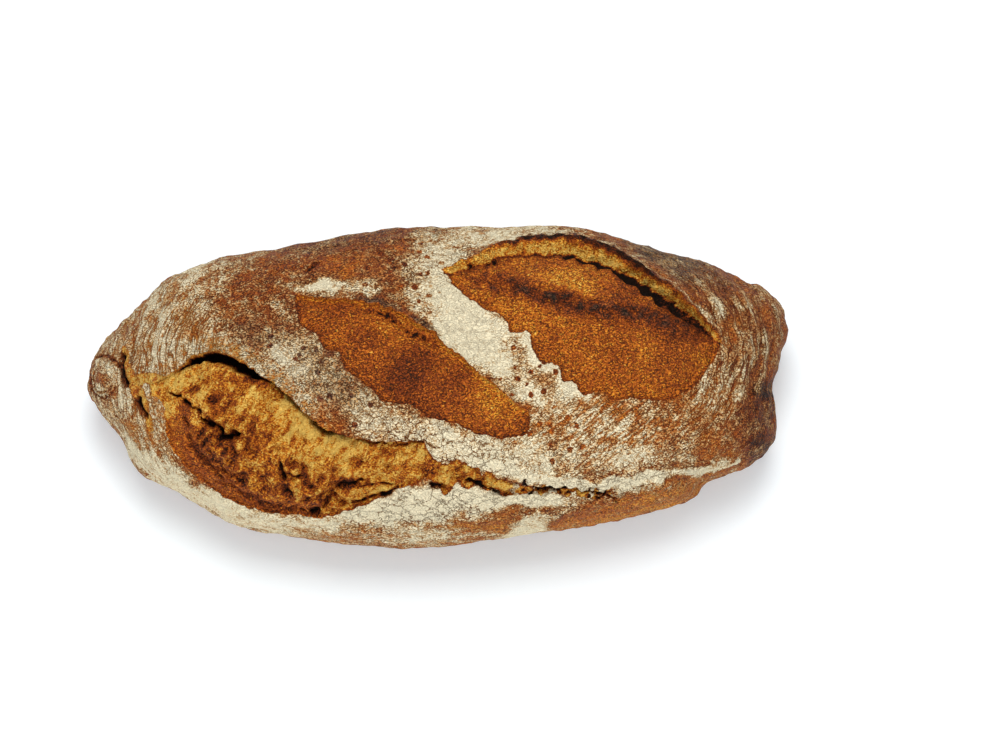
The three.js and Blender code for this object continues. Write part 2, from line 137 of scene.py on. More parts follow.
# ---- Lines drawn on the face --------------------------------------------------------------------
@dataclass
class Near:
    """Where a line comes closest to each of some face points."""

    distance: np.ndarray
    share: np.ndarray
    side: np.ndarray


@dataclass
class Line:
    """A centripetal Catmull-Rom curve through a few (along, across) points."""

    through: Points
    step: float = 2.0
    margin: float = 45.0
    fineness: int = 13
    batch: int = 8000
    points: np.ndarray = field(init=False)

    def __post_init__(self) -> None:
        """Trace the curve and space its points evenly."""
        knots = np.array(self.through, dtype=float)
        knots = np.vstack([2 * knots[0] - knots[1], knots, 2 * knots[-1] - knots[-2]])
        fine = [knots[1]]
        shares = np.linspace(0.0, 1.0, self.fineness)[1:, None]
        for a, b, c, d in zip(knots, knots[1:], knots[2:], knots[3:]):
            before, here, after = (np.linalg.norm(q - p) ** 0.5 for p, q in ((a, b), (b, c), (c, d)))
            leave = ((b - a) / before - (c - a) / (before + here) + (c - b) / here) * here
            arrive = ((c - b) / here - (d - b) / (here + after) + (d - c) / after) * here
            square, cube = shares**2, shares**3
            fine.extend(
                (2 * cube - 3 * square + 1) * b + (cube - 2 * square + shares) * leave
                + (3 * square - 2 * cube) * c + (cube - square) * arrive
            )
        path = np.array(fine)
        run = np.concatenate([[0.0], np.cumsum(np.linalg.norm(np.diff(path, axis=0), axis=1))])
        count = max(2, math.ceil(run[-1] / self.step) + 1)
        stops = np.linspace(0.0, run[-1], count)
        self.points = np.column_stack([np.interp(stops, run, path[:, i]) for i in range(2)])

    def near(self, face: np.ndarray) -> Near:
        """Measure some face points against the line.

        Args:
            face: (along, across) rows.

        Returns:
            Their distance, the share of the line's length and the side, +1 on the line's left.
            Points far outside the line's surroundings get a large distance.
        """
        low, high = self.points.min(0) - self.margin, self.points.max(0) + self.margin
        close = np.flatnonzero(((face > low) & (face < high)).all(1))
        result = Near(*(np.full(len(face), value) for value in (FAR, 0.5, 1.0)))
        starts, ways = self.points[:-1], np.diff(self.points, axis=0)
        lengths = (ways**2).sum(1)
        for chunk in np.array_split(close, max(1, len(close) // self.batch)):
            gap = face[chunk, None, :] - starts[None]
            share = np.clip((gap * ways).sum(2) / lengths, 0.0, 1.0)
            rest = gap - share[..., None] * ways
            squares = (rest**2).sum(2)
            best = squares.argmin(1)
            row = np.arange(len(chunk))
            offset = rest[row, best]
            turned = ways[best, 0] * offset[:, 1] - ways[best, 1] * offset[:, 0]
            result.distance[chunk] = np.sqrt(squares[row, best])
            result.share[chunk] = (best + share[row, best]) / len(ways)
            result.side[chunk] = np.where(turned >= 0, 1.0, -1.0)
        return result

    def crossed(self, face: np.ndarray) -> np.ndarray:
        """Count the line's crossings to the right of some face points.

        Args:
            face: (along, across) rows.

        Returns:
            True where their number is odd.
        """
        odd = np.zeros(len(face), dtype=bool)
        for a, b in zip(self.points, self.points[1:]):
            if a[1] != b[1]:
                spans = (a[1] > face[:, 1]) != (b[1] > face[:, 1])
                odd ^= spans & (face[:, 0] < a[0] + (b[0] - a[0]) * (face[:, 1] - a[1]) / (b[1] - a[1]))
        return odd


# ---- The bare loaf ------------------------------------------------------------------------------
@dataclass(frozen=True)
class Closing:
    """How a profile closes in towards a tip: 1 - share ** power, to the 1 / root."""

    power: float
    root: float

    def at(self, share: np.ndarray) -> np.ndarray:
        """Return how much of the profile is left at a share of the way to the tip."""
        return (1.0 - np.abs(share) ** self.power) ** (1.0 / self.root)


@dataclass
class Silhouette:
    """The loaf's uneven outline, seen square to the face, that the even form is drawn out to."""

    through: Points = field(default_factory=lambda: [
        (149.8, 25), (145, 5.5), (143.2, 1), (145.4, -8), (145.6, -20), (142.6, -26), (134, -33),
        (113, -41), (109.5, -45.5), (91, -52), (61, -58), (10, -65.8), (-12, -67.1), (-46, -65.4),
        (-64, -62), (-88, -57.7), (-114, -42.7), (-128, -35), (-136, -21), (-148.5, -5), (-150, 1),
        (-148.3, 11.5), (-137, 25), (-121, 39.5), (-115, 46), (-91.5, 54.9), (-70, 59.4), (-38, 65.8),
        (-7, 67.7), (30, 68), (66, 66.8), (87, 61.6), (120, 51.8), (134, 43.6), (138.5, 42.6), (147, 33.5),
    ])
    squash: float = 2.22
    held: float = 0.5
    slices: int = 720

    def polar(self, face: np.ndarray) -> tuple[np.ndarray, np.ndarray]:
        """Return the angle and the reach of some face points, with the loaf squashed to a round."""
        tall = face[:, 1] * self.squash
        return np.arctan2(tall, face[:, 0]), np.hypot(face[:, 0], tall)

    def fit(self, even: np.ndarray) -> None:
        """Measure the even form's own outline.

        Args:
            even: a dense set of its face points.
        """
        angle, reach = self.polar(even)
        self.centres = (np.arange(self.slices) + 0.5) / self.slices * 2 * np.pi - np.pi
        self.even = np.zeros(self.slices)
        chosen = np.clip(((angle + np.pi) / (2 * np.pi) * self.slices).astype(int), 0, self.slices - 1)
        np.maximum.at(self.even, chosen, reach)
        ring = Line([*self.through, self.through[0]], step=1.0).points
        angles, reaches = self.polar(ring)
        order = np.argsort(angles)
        self.angles, self.reaches = angles[order], reaches[order]

    def drawn(self, face: np.ndarray) -> np.ndarray:
        """Draw face points out so that the even outline meets the uneven one.

        Args:
            face: (along, across) rows.

        Returns:
            The moved rows.
        """
        angle, reach = self.polar(face)
        even = np.interp(angle, self.centres, self.even, period=2 * np.pi)
        wanted = np.interp(angle, self.angles, self.reaches, period=2 * np.pi)
        pull = smoothstep(reach / even, self.held, 1.0)
        return face * (1 + (wanted / even - 1) * pull)[:, None]


@dataclass
class LoafForm:
    """The loaf without its scores, in millimetres."""

    length: float = 300.0
    width: float = 135.0
    height: float = 86.0
    waist: float = 36.0
    lean: float = math.radians(12.0)
    left_back: Closing = Closing(2.0, 2.0)
    left_front: Closing = Closing(2.1, 2.0)
    right_back: Closing = Closing(3.0, 3.0)
    right_front: Closing = Closing(2.0, 2.0)
    crown_left: Closing = Closing(2.3, 2.0)
    crown_right: Closing = Closing(2.9, 2.4)
    underside: Closing = Closing(7.0, 2.0)
    swing_left: float = 4.0
    swing_right: float = 3.0
    tip_drop: float = 5.0
    section_above: float = 2.15
    section_below: float = 2.7
    undercut: float = 50.0
    base_round: float = 5.0
    silhouette: Silhouette = field(default_factory=Silhouette)
    pole: float = 1.57
    rows: int = 500
    polar_cap: float = 0.1
    nudge: float = 4e-3

    def __post_init__(self) -> None:
        """Work out the face's two directions and the even outline."""
        self.face_up = np.array([0.0, math.cos(self.lean), math.sin(self.lean)])
        self.face_out = np.array([0.0, -math.sin(self.lean), math.cos(self.lean)])
        rows = np.sin(np.linspace(-self.pole, self.pole, self.rows))
        turns = np.linspace(0.0, 2 * np.pi, self.silhouette.slices)
        share, turn = (grid.ravel() for grid in np.meshgrid(rows, turns))
        ring = np.sqrt(1 - share**2)
        ball = np.column_stack([share, ring * np.cos(turn), ring * np.sin(turn)])
        self.silhouette.fit(self.face(self.even(ball)))

    def even(self, ball: np.ndarray) -> np.ndarray:
        """Move points of the unit ball to the loaf's even form.

        Args:
            ball: directions of unit length, one row each.

        Returns:
            Their places in millimetres.
        """
        share = np.clip(ball[:, 0], -1.0, 1.0)
        left = share < 0
        ring = np.maximum(np.hypot(ball[:, 1], ball[:, 2]), 1e-12)
        sideways, up = ball[:, 1] / ring, ball[:, 2] / ring
        back, above = sideways > 0, up > 0
        power = 2.0 / np.where(above, self.section_above, self.section_below)
        plan = np.where(
            left,
            np.where(back, self.left_back.at(share), self.left_front.at(share)),
            np.where(back, self.right_back.at(share), self.right_front.at(share)),
        )
        crown = np.where(left, self.crown_left.at(share), self.crown_right.at(share))
        rise = np.where(
            above, (self.height - self.waist) * crown, -self.undercut * self.underside.at(share)
        )
        swing = np.where(left, self.swing_left, self.swing_right) * share**4
        y = swing + self.width / 2 * plan * np.sign(sideways) * np.abs(sideways) ** power
        z = self.waist - self.tip_drop * share**4 + rise * np.abs(up) ** power
        return np.column_stack([self.length / 2 * share, y, z])

    def bare(self, ball: np.ndarray) -> np.ndarray:
        """Move points of the unit ball to the bare loaf with its uneven outline.

        Args:
            ball: directions of unit length, one row each.

        Returns:
            Their places in millimetres.
        """
        even = self.even(ball)
        face = self.face(even)
        move = self.silhouette.drawn(face) - face
        return even + move[:, 1:] * self.face_up + move[:, :1] * np.array([1.0, 0.0, 0.0])

    def normals(self, ball: np.ndarray) -> np.ndarray:
        """Work out which way the bare loaf faces at points of the ball.

        Args:
            ball: directions of unit length, one row each.

        Returns:
            Outward directions of unit length.
        """
        side = np.column_stack([-ball[:, 1], ball[:, 0], np.zeros(len(ball))])
        polar = np.linalg.norm(side, axis=1) < self.polar_cap
        side[polar] = np.column_stack([np.zeros(polar.sum()), -ball[polar, 2], ball[polar, 1]])
        side /= np.linalg.norm(side, axis=1)[:, None]
        moves = []
        for way in (side, np.cross(ball, side)):
            ends = [ball + way * nudge for nudge in (self.nudge, -self.nudge)]
            ahead, behind = (self.bare(e / np.linalg.norm(e, axis=1)[:, None]) for e in ends)
            moves.append(ahead - behind)
        normal = np.cross(*moves)
        return normal / np.linalg.norm(normal, axis=1)[:, None]

    def face(self, points: np.ndarray) -> np.ndarray:
        """Return the (along, across) places of some points on the face."""
        across = points @ self.face_up - self.waist * math.sin(self.lean)
        return np.column_stack([points[:, 0], across])

    def seated(self, points: np.ndarray) -> np.ndarray:
        """Cut points off at the base, with a soft edge.

        Args:
            points: places in millimetres.

        Returns:
            The same points, none of them under the base.
        """
        overlap = np.maximum(self.base_round - np.abs(points[:, 2]), 0.0) / self.base_round
        flat = np.maximum(points[:, 2], 0.0) + overlap**2 * self.base_round / 4
        return np.column_stack([points[:, :2], flat])


# ---- What the crust carries at each of its points -----------------------------------------------
class Mark(Enum):
    """The crust's painted values. Each becomes a float attribute of the mesh."""

    BAKE = "bake"  # 0 pale yellow crumb, 0.5 orange brown, 1 burnt
    FLOUR = "flour"  # the share of the skin that flour covers
    CRACKLE = "crackle"  # how far the flour has cracked into flakes
    DOTS = "dots"  # rows of bare spots in the flour
    WRINKLE = "wrinkle"  # how finely the skin is wrinkled along the flow
    STREAK = "streak"  # flour dragged out in slanting streaks
    INSIDE = "inside"  # millimetres inside the nearest score's rim, negative outside
    HOLLOW = "hollow"  # painted shade: 1 deep in a gap, slit, crack or crevice
    CRUMB = "crumb"  # 1 on torn crumb, 0 on smooth crust
    ASH = "ash"  # grey bloom on the hottest skin, and painted shade on the back rim and behind the leaf's edge


@dataclass
class Skin:
    """The points of the crust while it is being formed."""

    point: np.ndarray
    face: np.ndarray
    flow: np.ndarray
    out: np.ndarray
    slide: np.ndarray
    marks: dict[Mark, np.ndarray]

    @classmethod
    def over(cls, point: np.ndarray, face: np.ndarray, flow: np.ndarray) -> "Skin":
        """Start with skin that is nowhere moved and nowhere painted.

        Args:
            point: the points of the bare loaf, in millimetres.
            face: their (along, across) places.
            flow: their coordinates along and across the way the skin is drawn.

        Returns:
            The new skin.
        """
        marks = {mark: np.zeros(len(point)) for mark in Mark}
        marks[Mark.INSIDE] += OUTSIDE
        return cls(point, face, flow, np.zeros(len(point)), np.zeros(len(point)), marks)

    def wander(self, pitch: float, seed: float) -> np.ndarray:
        """Return smooth noise at the skin's points, as wander() does."""
        return wander(self.point, pitch, seed)

    def uneven(self, amount: float, pitch: float, seed: float) -> np.ndarray:
        """Return a factor that wanders round 1 by about the given amount."""
        return 1 + amount * wander(self.point, pitch, seed)

    def blend(self, weight: np.ndarray, **values: Values) -> None:
        """Blend some painted values towards others.

        Args:
            weight: how far each point goes, 0 not at all and 1 all the way.
            values: what each value goes to, under its mark's attribute name.
        """
        for name, value in values.items():
            self.marks[Mark(name)] = lerp(self.marks[Mark(name)], value, weight)


@dataclass(frozen=True)
class Dab:
    """A soft oval dab of a painted value on the face."""

    along: float
    across: float
    long: float
    wide: float
    turn: float
    amount: float

    def weight(self, face: np.ndarray) -> np.ndarray:
        """Work out how strongly the dab covers some face points.

        Args:
            face: (along, across) rows.

        Returns:
            Their weights, from 0 to 1.
        """
        angle = math.radians(self.turn)
        gap = face - (self.along, self.across)
        ahead = gap[:, 0] * math.cos(angle) + gap[:, 1] * math.sin(angle)
        aside = gap[:, 1] * math.cos(angle) - gap[:, 0] * math.sin(angle)
        return np.exp(-(((ahead / self.long) ** 2 + (aside / self.wide) ** 2) ** 2))


@dataclass(frozen=True)
class Band:
    """A painted value along a line on the face."""

    through: Points
    wide: float
    amount: float

    def weight(self, face: np.ndarray) -> np.ndarray:
        """Return how strongly the band covers each face point."""
        near = Line(self.through).near(face)
        return np.exp(-((near.distance / self.wide) ** 4))


def painted(value: np.ndarray, patches: tuple[Dab | Band, ...], face: np.ndarray) -> np.ndarray:
    """Lay some dabs and bands over a painted value in turn.

    Args:
        value: the value before them.
        patches: the dabs and bands, the first one undermost.
        face: (along, across) rows.

    Returns:
        The value after them.
    """
    for patch in patches:
        value = lerp(value, patch.amount, patch.weight(face))
    return value


# ---- The scores ---------------------------------------------------------------------------------
@dataclass
class Place:
    """Where some face points lie by a score."""

    back: Near
    front: Near
    inside: np.ndarray
    tip: np.ndarray

    @property
    def inner(self) -> np.ndarray:
        """Return 1 within the rim and 0 outside it."""
        return np.where(self.inside > 0, 1.0, 0.0)

    @property
    def outer(self) -> np.ndarray:
        """Return 1 outside the rim and behind the back edge, and 0 elsewhere."""
        return np.where(self.back.side > 0, 1.0 - self.inner, 0.0)


@dataclass
class Score:
    """A score's rim: its back edge from left to right and its front edge from right to left."""

    back: Points
    front: Points
    swell: float = 11.0
    step: float = 1.0
    step_width: float = 0.7
    tip: float = 2.5
    # A thin line along a score's rim: darker as painted shadow at the step, and lighter along the leaf's
    # lip as a painted highlight.
    rim_shading: float = 0.2

    def __post_init__(self) -> None:
        """Trace the two edges."""
        self.back_line = Line(self.back)
        self.front_line = Line([self.back[-1], *self.front, self.back[0]])

    def at(self, face: np.ndarray) -> Place:
        """Measure some face points against the rim.

        Args:
            face: (along, across) rows.

        Returns:
            Where they lie by it.
        """
        back, front = self.back_line.near(face), self.front_line.near(face)
        within = self.back_line.crossed(face) != self.front_line.crossed(face)
        inside = np.minimum(back.distance, front.distance) * np.where(within, 1.0, -1.0)
        return Place(back, front, inside, smoothstep(front.distance, 0.0, self.tip))

    def enter(self, skin: Skin) -> Place:
        """Note how far inside the rim the skin lies, and take flour and bloom off the cut face.

        Args:
            skin: the crust, which is marked.

        Returns:
            Where the skin's points lie by the rim.
        """
        place = self.at(skin.face)
        skin.marks[Mark.INSIDE] = np.maximum(skin.marks[Mark.INSIDE], place.inside)
        skin.blend(place.inner, ash=0.0, flour=BARE)
        return place

    def swollen(self, inside: np.ndarray, belly: float) -> np.ndarray:
        """Return the height of the cut face: a step down at the rim, and swollen further in."""
        return belly * (1 - hump(inside, self.swell)) - self.step * smoothstep(inside, 0, self.step_width)

    @staticmethod
    def raise_skin(skin: Skin, place: Place, inner: np.ndarray, lift: np.ndarray, flare: float) -> None:
        """Move the cut face, and the skin behind the score, which rises to its back edge.

        Args:
            skin: the crust, which is moved.
            place: where its points lie by the rim.
            inner: the height of the cut face.
            lift: the height of the back edge.
            flare: how far behind the edge the skin starts to rise.
        """
        behind = np.where(place.back.side > 0, lift * np.exp(-place.back.distance / flare), 0.0)
        skin.out += np.where(place.inside > 0, inner, behind)


@dataclass
class EarScore(Score):
    """The right score: the ear along its back, a gap under it and a swollen smooth face."""

    back: Points = field(default_factory=lambda: [
        (2, 50), (13, 54), (26, 59), (40, 62), (54, 62.5), (68, 60), (82, 53.5), (95, 44.5),
        (107, 35), (121, 20),
    ])
    front: Points = field(default_factory=lambda: [
        (116, 10), (108, 0), (96, -5), (84, -4.5), (75, -5), (70, -1), (62, -2.5), (59, 1.5),
        (53.5, 4), (52, 10), (46, 10.5), (41, 16), (38.5, 24), (32, 23.5), (29, 30), (18, 35), (8, 43),
    ])
    height: float = 5.5
    blunt: float = 0.5
    flare: float = 3.5
    lip: Table = (
        (0.0, 1.6), (0.1, 2.8), (0.2, 3.8), (0.4, 5.0), (0.55, 4.5), (0.7, 2.7), (0.85, 1.3), (1.0, 0.5),
    )
    gap: Table = (
        (0.0, 0.2), (0.36, 0.2), (0.43, 1.3), (0.6, 2.2), (0.7, 2.8), (0.77, 3.5), (0.88, 3.2),
        (0.95, 1.5), (1.0, 0.2),
    )
    depth: Table = ((0.0, 0.5), (0.3, 1.5), (0.43, 4.0), (0.7, 5.5), (0.88, 5.0), (1.0, 0.8))
    slope: float = 2.4
    belly: float = 3.4
    tones: tuple[Dab, ...] = (
        Dab(38, 32, 16, 9, -30, 0.33), Dab(60, 24, 16, 7, -25, 0.40), Dab(56, 42, 14, 7, -15, 0.26),
        Dab(62, 12, 12, 20, 20, 0.43),
        Dab(80, 40, 9, 7, -35, 0.54), Dab(98, 24, 9, 9, -45, 0.56), Dab(104, 4, 10, 12, 0, 0.46),
        Dab(80, 0, 14, 6, 0, 0.42), Dab(18, 46, 13, 6, -10, 0.30),
    )
    band: Points = field(default_factory=lambda: [
        (12, 48), (20, 46), (37, 41), (56, 35.5), (70, 33), (84, 31), (102, 26.5), (114, 22),
    ])
    band_wide: float = 3.7
    shells: Rows = ((0.11, 0.25, 0.5), (0.24, 0.38, 0.22), (0.42, 0.56, 0.08))
    edge_bake: float = 0.90
    pale: float = 0.12
    shade: Table = (
        (0.0, 0.1), (0.34, 0.2), (0.43, 0.8), (0.6, 0.9), (0.72, 0.9), (0.8, 0.65), (0.95, 0.45),
        (1.0, 0.3),
    )
    holes: Rows = ((14, 52, 1.5), (21.5, 53.2, 0.9), (24.5, 53.6, 0.9))
    hole_depth: float = 3.0

    def form(self, skin: Skin) -> None:
        """Raise the ear, open the gap and swell the face, and paint them.

        Args:
            skin: the crust, which is moved and painted.
        """
        place = self.enter(skin)
        distance, share = place.back.distance, place.back.share
        lift = self.height * spindle(share, self.blunt) * place.tip * skin.uneven(0.12, 9.0, 3.0)
        lip = varied(share, self.lip) * skin.uneven(0.3, 4.0, 30.0)
        gap = varied(share, self.gap) * skin.uneven(0.9, 5.0, 31.0)
        bottom = -varied(share, self.depth) * place.tip
        fall = np.clip(distance / (lip + self.step_width), 0.0, 1.0)
        rise = smoothstep((distance - lip - gap) / self.slope, 0.0, 1.0)
        sponge = 0.9 * skin.wander(2.4, 32.0) * spindle(fall, 0.7)
        wall = lerp(lift, bottom, smoothstep(fall, -0.1, 1.0)) + sponge
        inner = lerp(wall, self.swollen(place.inside, self.belly), rise)
        self.raise_skin(skin, place, inner, lift, self.flare)
        self.paint_face(skin, place)
        self.paint_ear(skin, place, fall, rise)
        for along, across, size in self.holes:
            hole = hump(np.hypot(*(skin.face - (along, across)).T), size)
            skin.out -= self.hole_depth * hole
            # Painted shade in each hole.
            skin.blend(smoothstep(hole, 0.3, 0.8), hollow=1.0)

    def paint_face(self, skin: Skin, place: Place) -> None:
        """Paint the browned face and the burnt band across it.

        Args:
            skin: the crust, which is painted.
            place: where its points lie by the rim.
        """
        distance, share, inner = place.back.distance, place.back.share, place.inner
        along, across = skin.face.T
        cloud = skin.wander(12.0, 4.0)
        corner = smoothstep(along, 85, 112) * smoothstep(across, -5, 25)
        golden = hump(distance - 12, 6.5) * smoothstep(share, 0.15, 0.35) * 0.85
        tone = lerp(0.48 + 0.15 * cloud + 0.08 * corner, 0.38 + 0.1 * cloud, golden)
        skin.blend(inner, bake=painted(tone, self.tones, skin.face))
        # Painted shadow: a thin darker line just inside the rim, at the step.
        skin.marks[Mark.BAKE] += self.rim_shading * inner * hump(place.inside, 0.6)
        band = Line(self.band).near(skin.face)
        ragged = band.distance + 3.0 * skin.wander(5.0, 5.0) + 1.8 * skin.wander(2.2, 56.0)
        burnt = inner * hump(ragged, self.band_wide) * spindle(0.09 + 0.83 * band.share, 0.6)
        rough = skin.wander(2.8, 49.0)
        skin.blend(burnt, bake=0.80 + 0.4 * rough)
        skin.blend(burnt * smoothstep(rough, 0.1, 0.3) * 0.4, ash=0.5)
        skin.out += 1.5 * burnt * rough

    def paint_ear(self, skin: Skin, place: Place, fall: np.ndarray, rise: np.ndarray) -> None:
        """Paint the burnt edge of the ear, its yellow inner face and painted shade in the gap.

        Args:
            skin: the crust, which is painted.
            place: where its points lie by the rim.
            fall: how far down the ear's inner face each point lies, from 0 to 1.
            rise: how far up the far side of the gap it lies, from 0 to 1.
        """
        distance, share = place.back.distance, place.back.share
        strip = place.inner * (1 - smoothstep(rise, 0.0, 0.3))
        burn = smoothstep(share, 0.08, 0.3) * (1 - 0.65 * smoothstep(share, 0.66, 0.82))
        edge = fall + 0.16 * skin.wander(4.0, 33.0) - 0.06 * smoothstep(share, 0.35, 0.5)
        tone = self.edge_bake
        for low, high, bake in self.shells:
            tone = lerp(tone, bake, smoothstep(edge, low, high))
        tone = lerp(self.pale, tone, 0.15 + 0.85 * burn) + 0.2 * skin.wander(2.6, 6.0)
        skin.blend(strip, bake=tone)
        skin.blend(strip * smoothstep(fall, 0.35, 0.6), crumb=0.8)
        # Painted shade deep in the gap under the ear: a darker bake and the gap shade.
        deep = place.inner * smoothstep(fall, 0.78, 0.98) * (1 - smoothstep(rise, 0.25, 0.8))
        skin.blend(deep, bake=0.6, hollow=varied(share, self.shade) + 0.3 * skin.wander(3.0, 48.0))
        outer = place.outer * place.tip
        skin.blend(outer * hump(distance, 1.0) * burn, bake=0.85)
        skin.blend(outer * hump(distance, 0.7) * burn, flour=0.0)
        skin.blend(outer * hump(distance - 1.6, 0.5) * smoothstep(share, 0.4, 0.6), flour=0.66)


@dataclass
class LeafScore(Score):
    """The middle score, a long leaf with a thin raised lip along its back edge."""

    back: Points = field(default_factory=lambda: [
        (-59, 39), (-45, 37.5), (-30, 36), (-18, 32.5), (-5, 26), (5, 17.5), (17, 7.5), (30, -3),
        (39, -11),
    ])
    front: Points = field(default_factory=lambda: [
        (39, -18.5), (29, -21), (18, -19), (6, -14), (-4, -11.5), (-10, -6.5), (-21, -6), (-29, 1),
        (-38, 8), (-41, 14.5), (-47, 16), (-50, 23), (-56, 25.5), (-59, 32),
    ])
    lip: float = 1.8
    flare: float = 4.0
    belly: float = 3.2
    fold: Points = field(default_factory=lambda: [
        (-29, 32.5), (-21, 30.8), (-17, 27.5), (-12, 24.5), (-8, 22.5), (-3, 20.6), (1, 18),
    ])
    tones: tuple[Dab, ...] = (
        Dab(-50, 32, 9, 6, -20, 0.54), Dab(-22, 28, 14, 6, -20, 0.42), Dab(-2, 19, 9, 5, -38, 0.44),
        Dab(-12, 4, 9, 9, -30, 0.68),
        Dab(12, 3, 7, 4, -40, 0.64), Dab(-6, 12, 8, 5, -40, 0.62), Dab(26, -6, 16, 9, -38, 0.33),
        Dab(38, -14, 5, 6, -35, 0.52),
    )
    fold_depth: float = 1.8
    fold_ridge: float = 1.2
    scorch_and_shade: Table = ((0.2, 0.0), (0.28, 1.0), (0.42, 0.3), (0.46, 1.0), (0.54, 0.6), (0.58, 0.0))

    def form(self, skin: Skin) -> None:
        """Swell the leaf, raise its lip, fold it along a short line and paint it.

        Args:
            skin: the crust, which is moved and painted.
        """
        place = self.enter(skin)
        lip = self.lip * spindle(place.back.share, 0.5) * place.tip
        wall = smoothstep(place.back.distance, 0.0, self.step_width)
        inner = lerp(lip, self.swollen(place.inside, self.belly), wall)
        self.raise_skin(skin, place, inner, lip, self.flare)
        fold = Line(self.fold).near(skin.face)
        ends, above = spindle(fold.share, 0.4), fold.side > 0
        skin.out -= self.fold_depth * hump(fold.distance, 0.8) * ends
        skin.out += self.fold_ridge * hump(fold.distance - 2.0, 1.5) * ends * np.where(above, 1.0, 0.3)
        self.paint(skin, place)
        skin.blend(ends * hump(fold.distance - 2.0, 1.4) * np.where(above, 0.8, 0.0), bake=0.46)
        # Painted shade in pits along the fold.
        pits = smoothstep(skin.wander(1.9, 7.0), -0.1, 0.1) * hump(fold.distance, 0.9) * ends
        skin.blend(pits, hollow=1.0)

    def paint(self, skin: Skin, place: Place) -> None:
        """Paint the browned leaf, and the scorched skin and painted shade behind parts of its back edge.

        Args:
            skin: the crust, which is painted.
            place: where its points lie by the rim.
        """
        distance, inner = place.back.distance, place.inner
        skin.blend(inner, bake=painted(0.53 + 0.12 * skin.wander(12.0, 8.0), self.tones, skin.face))
        # Painted shadow in a thin line inside the front edge, and a painted highlight along the lip of the
        # back edge.
        skin.marks[Mark.BAKE] += self.rim_shading * inner * hump(place.front.distance, 0.6)
        skin.marks[Mark.BAKE] -= self.rim_shading * inner * hump(distance - 0.8, 0.7)
        # Darker, greyer skin just behind the back edge: partly scorch, partly painted shade beside the
        # raised lip.
        shaded = place.outer * hump(distance - 1.0, 1.6) * varied(place.back.share, self.scorch_and_shade)
        skin.blend(shaded, bake=0.86, ash=0.6)
        skin.blend(shaded * 0.9, flour=0.05)


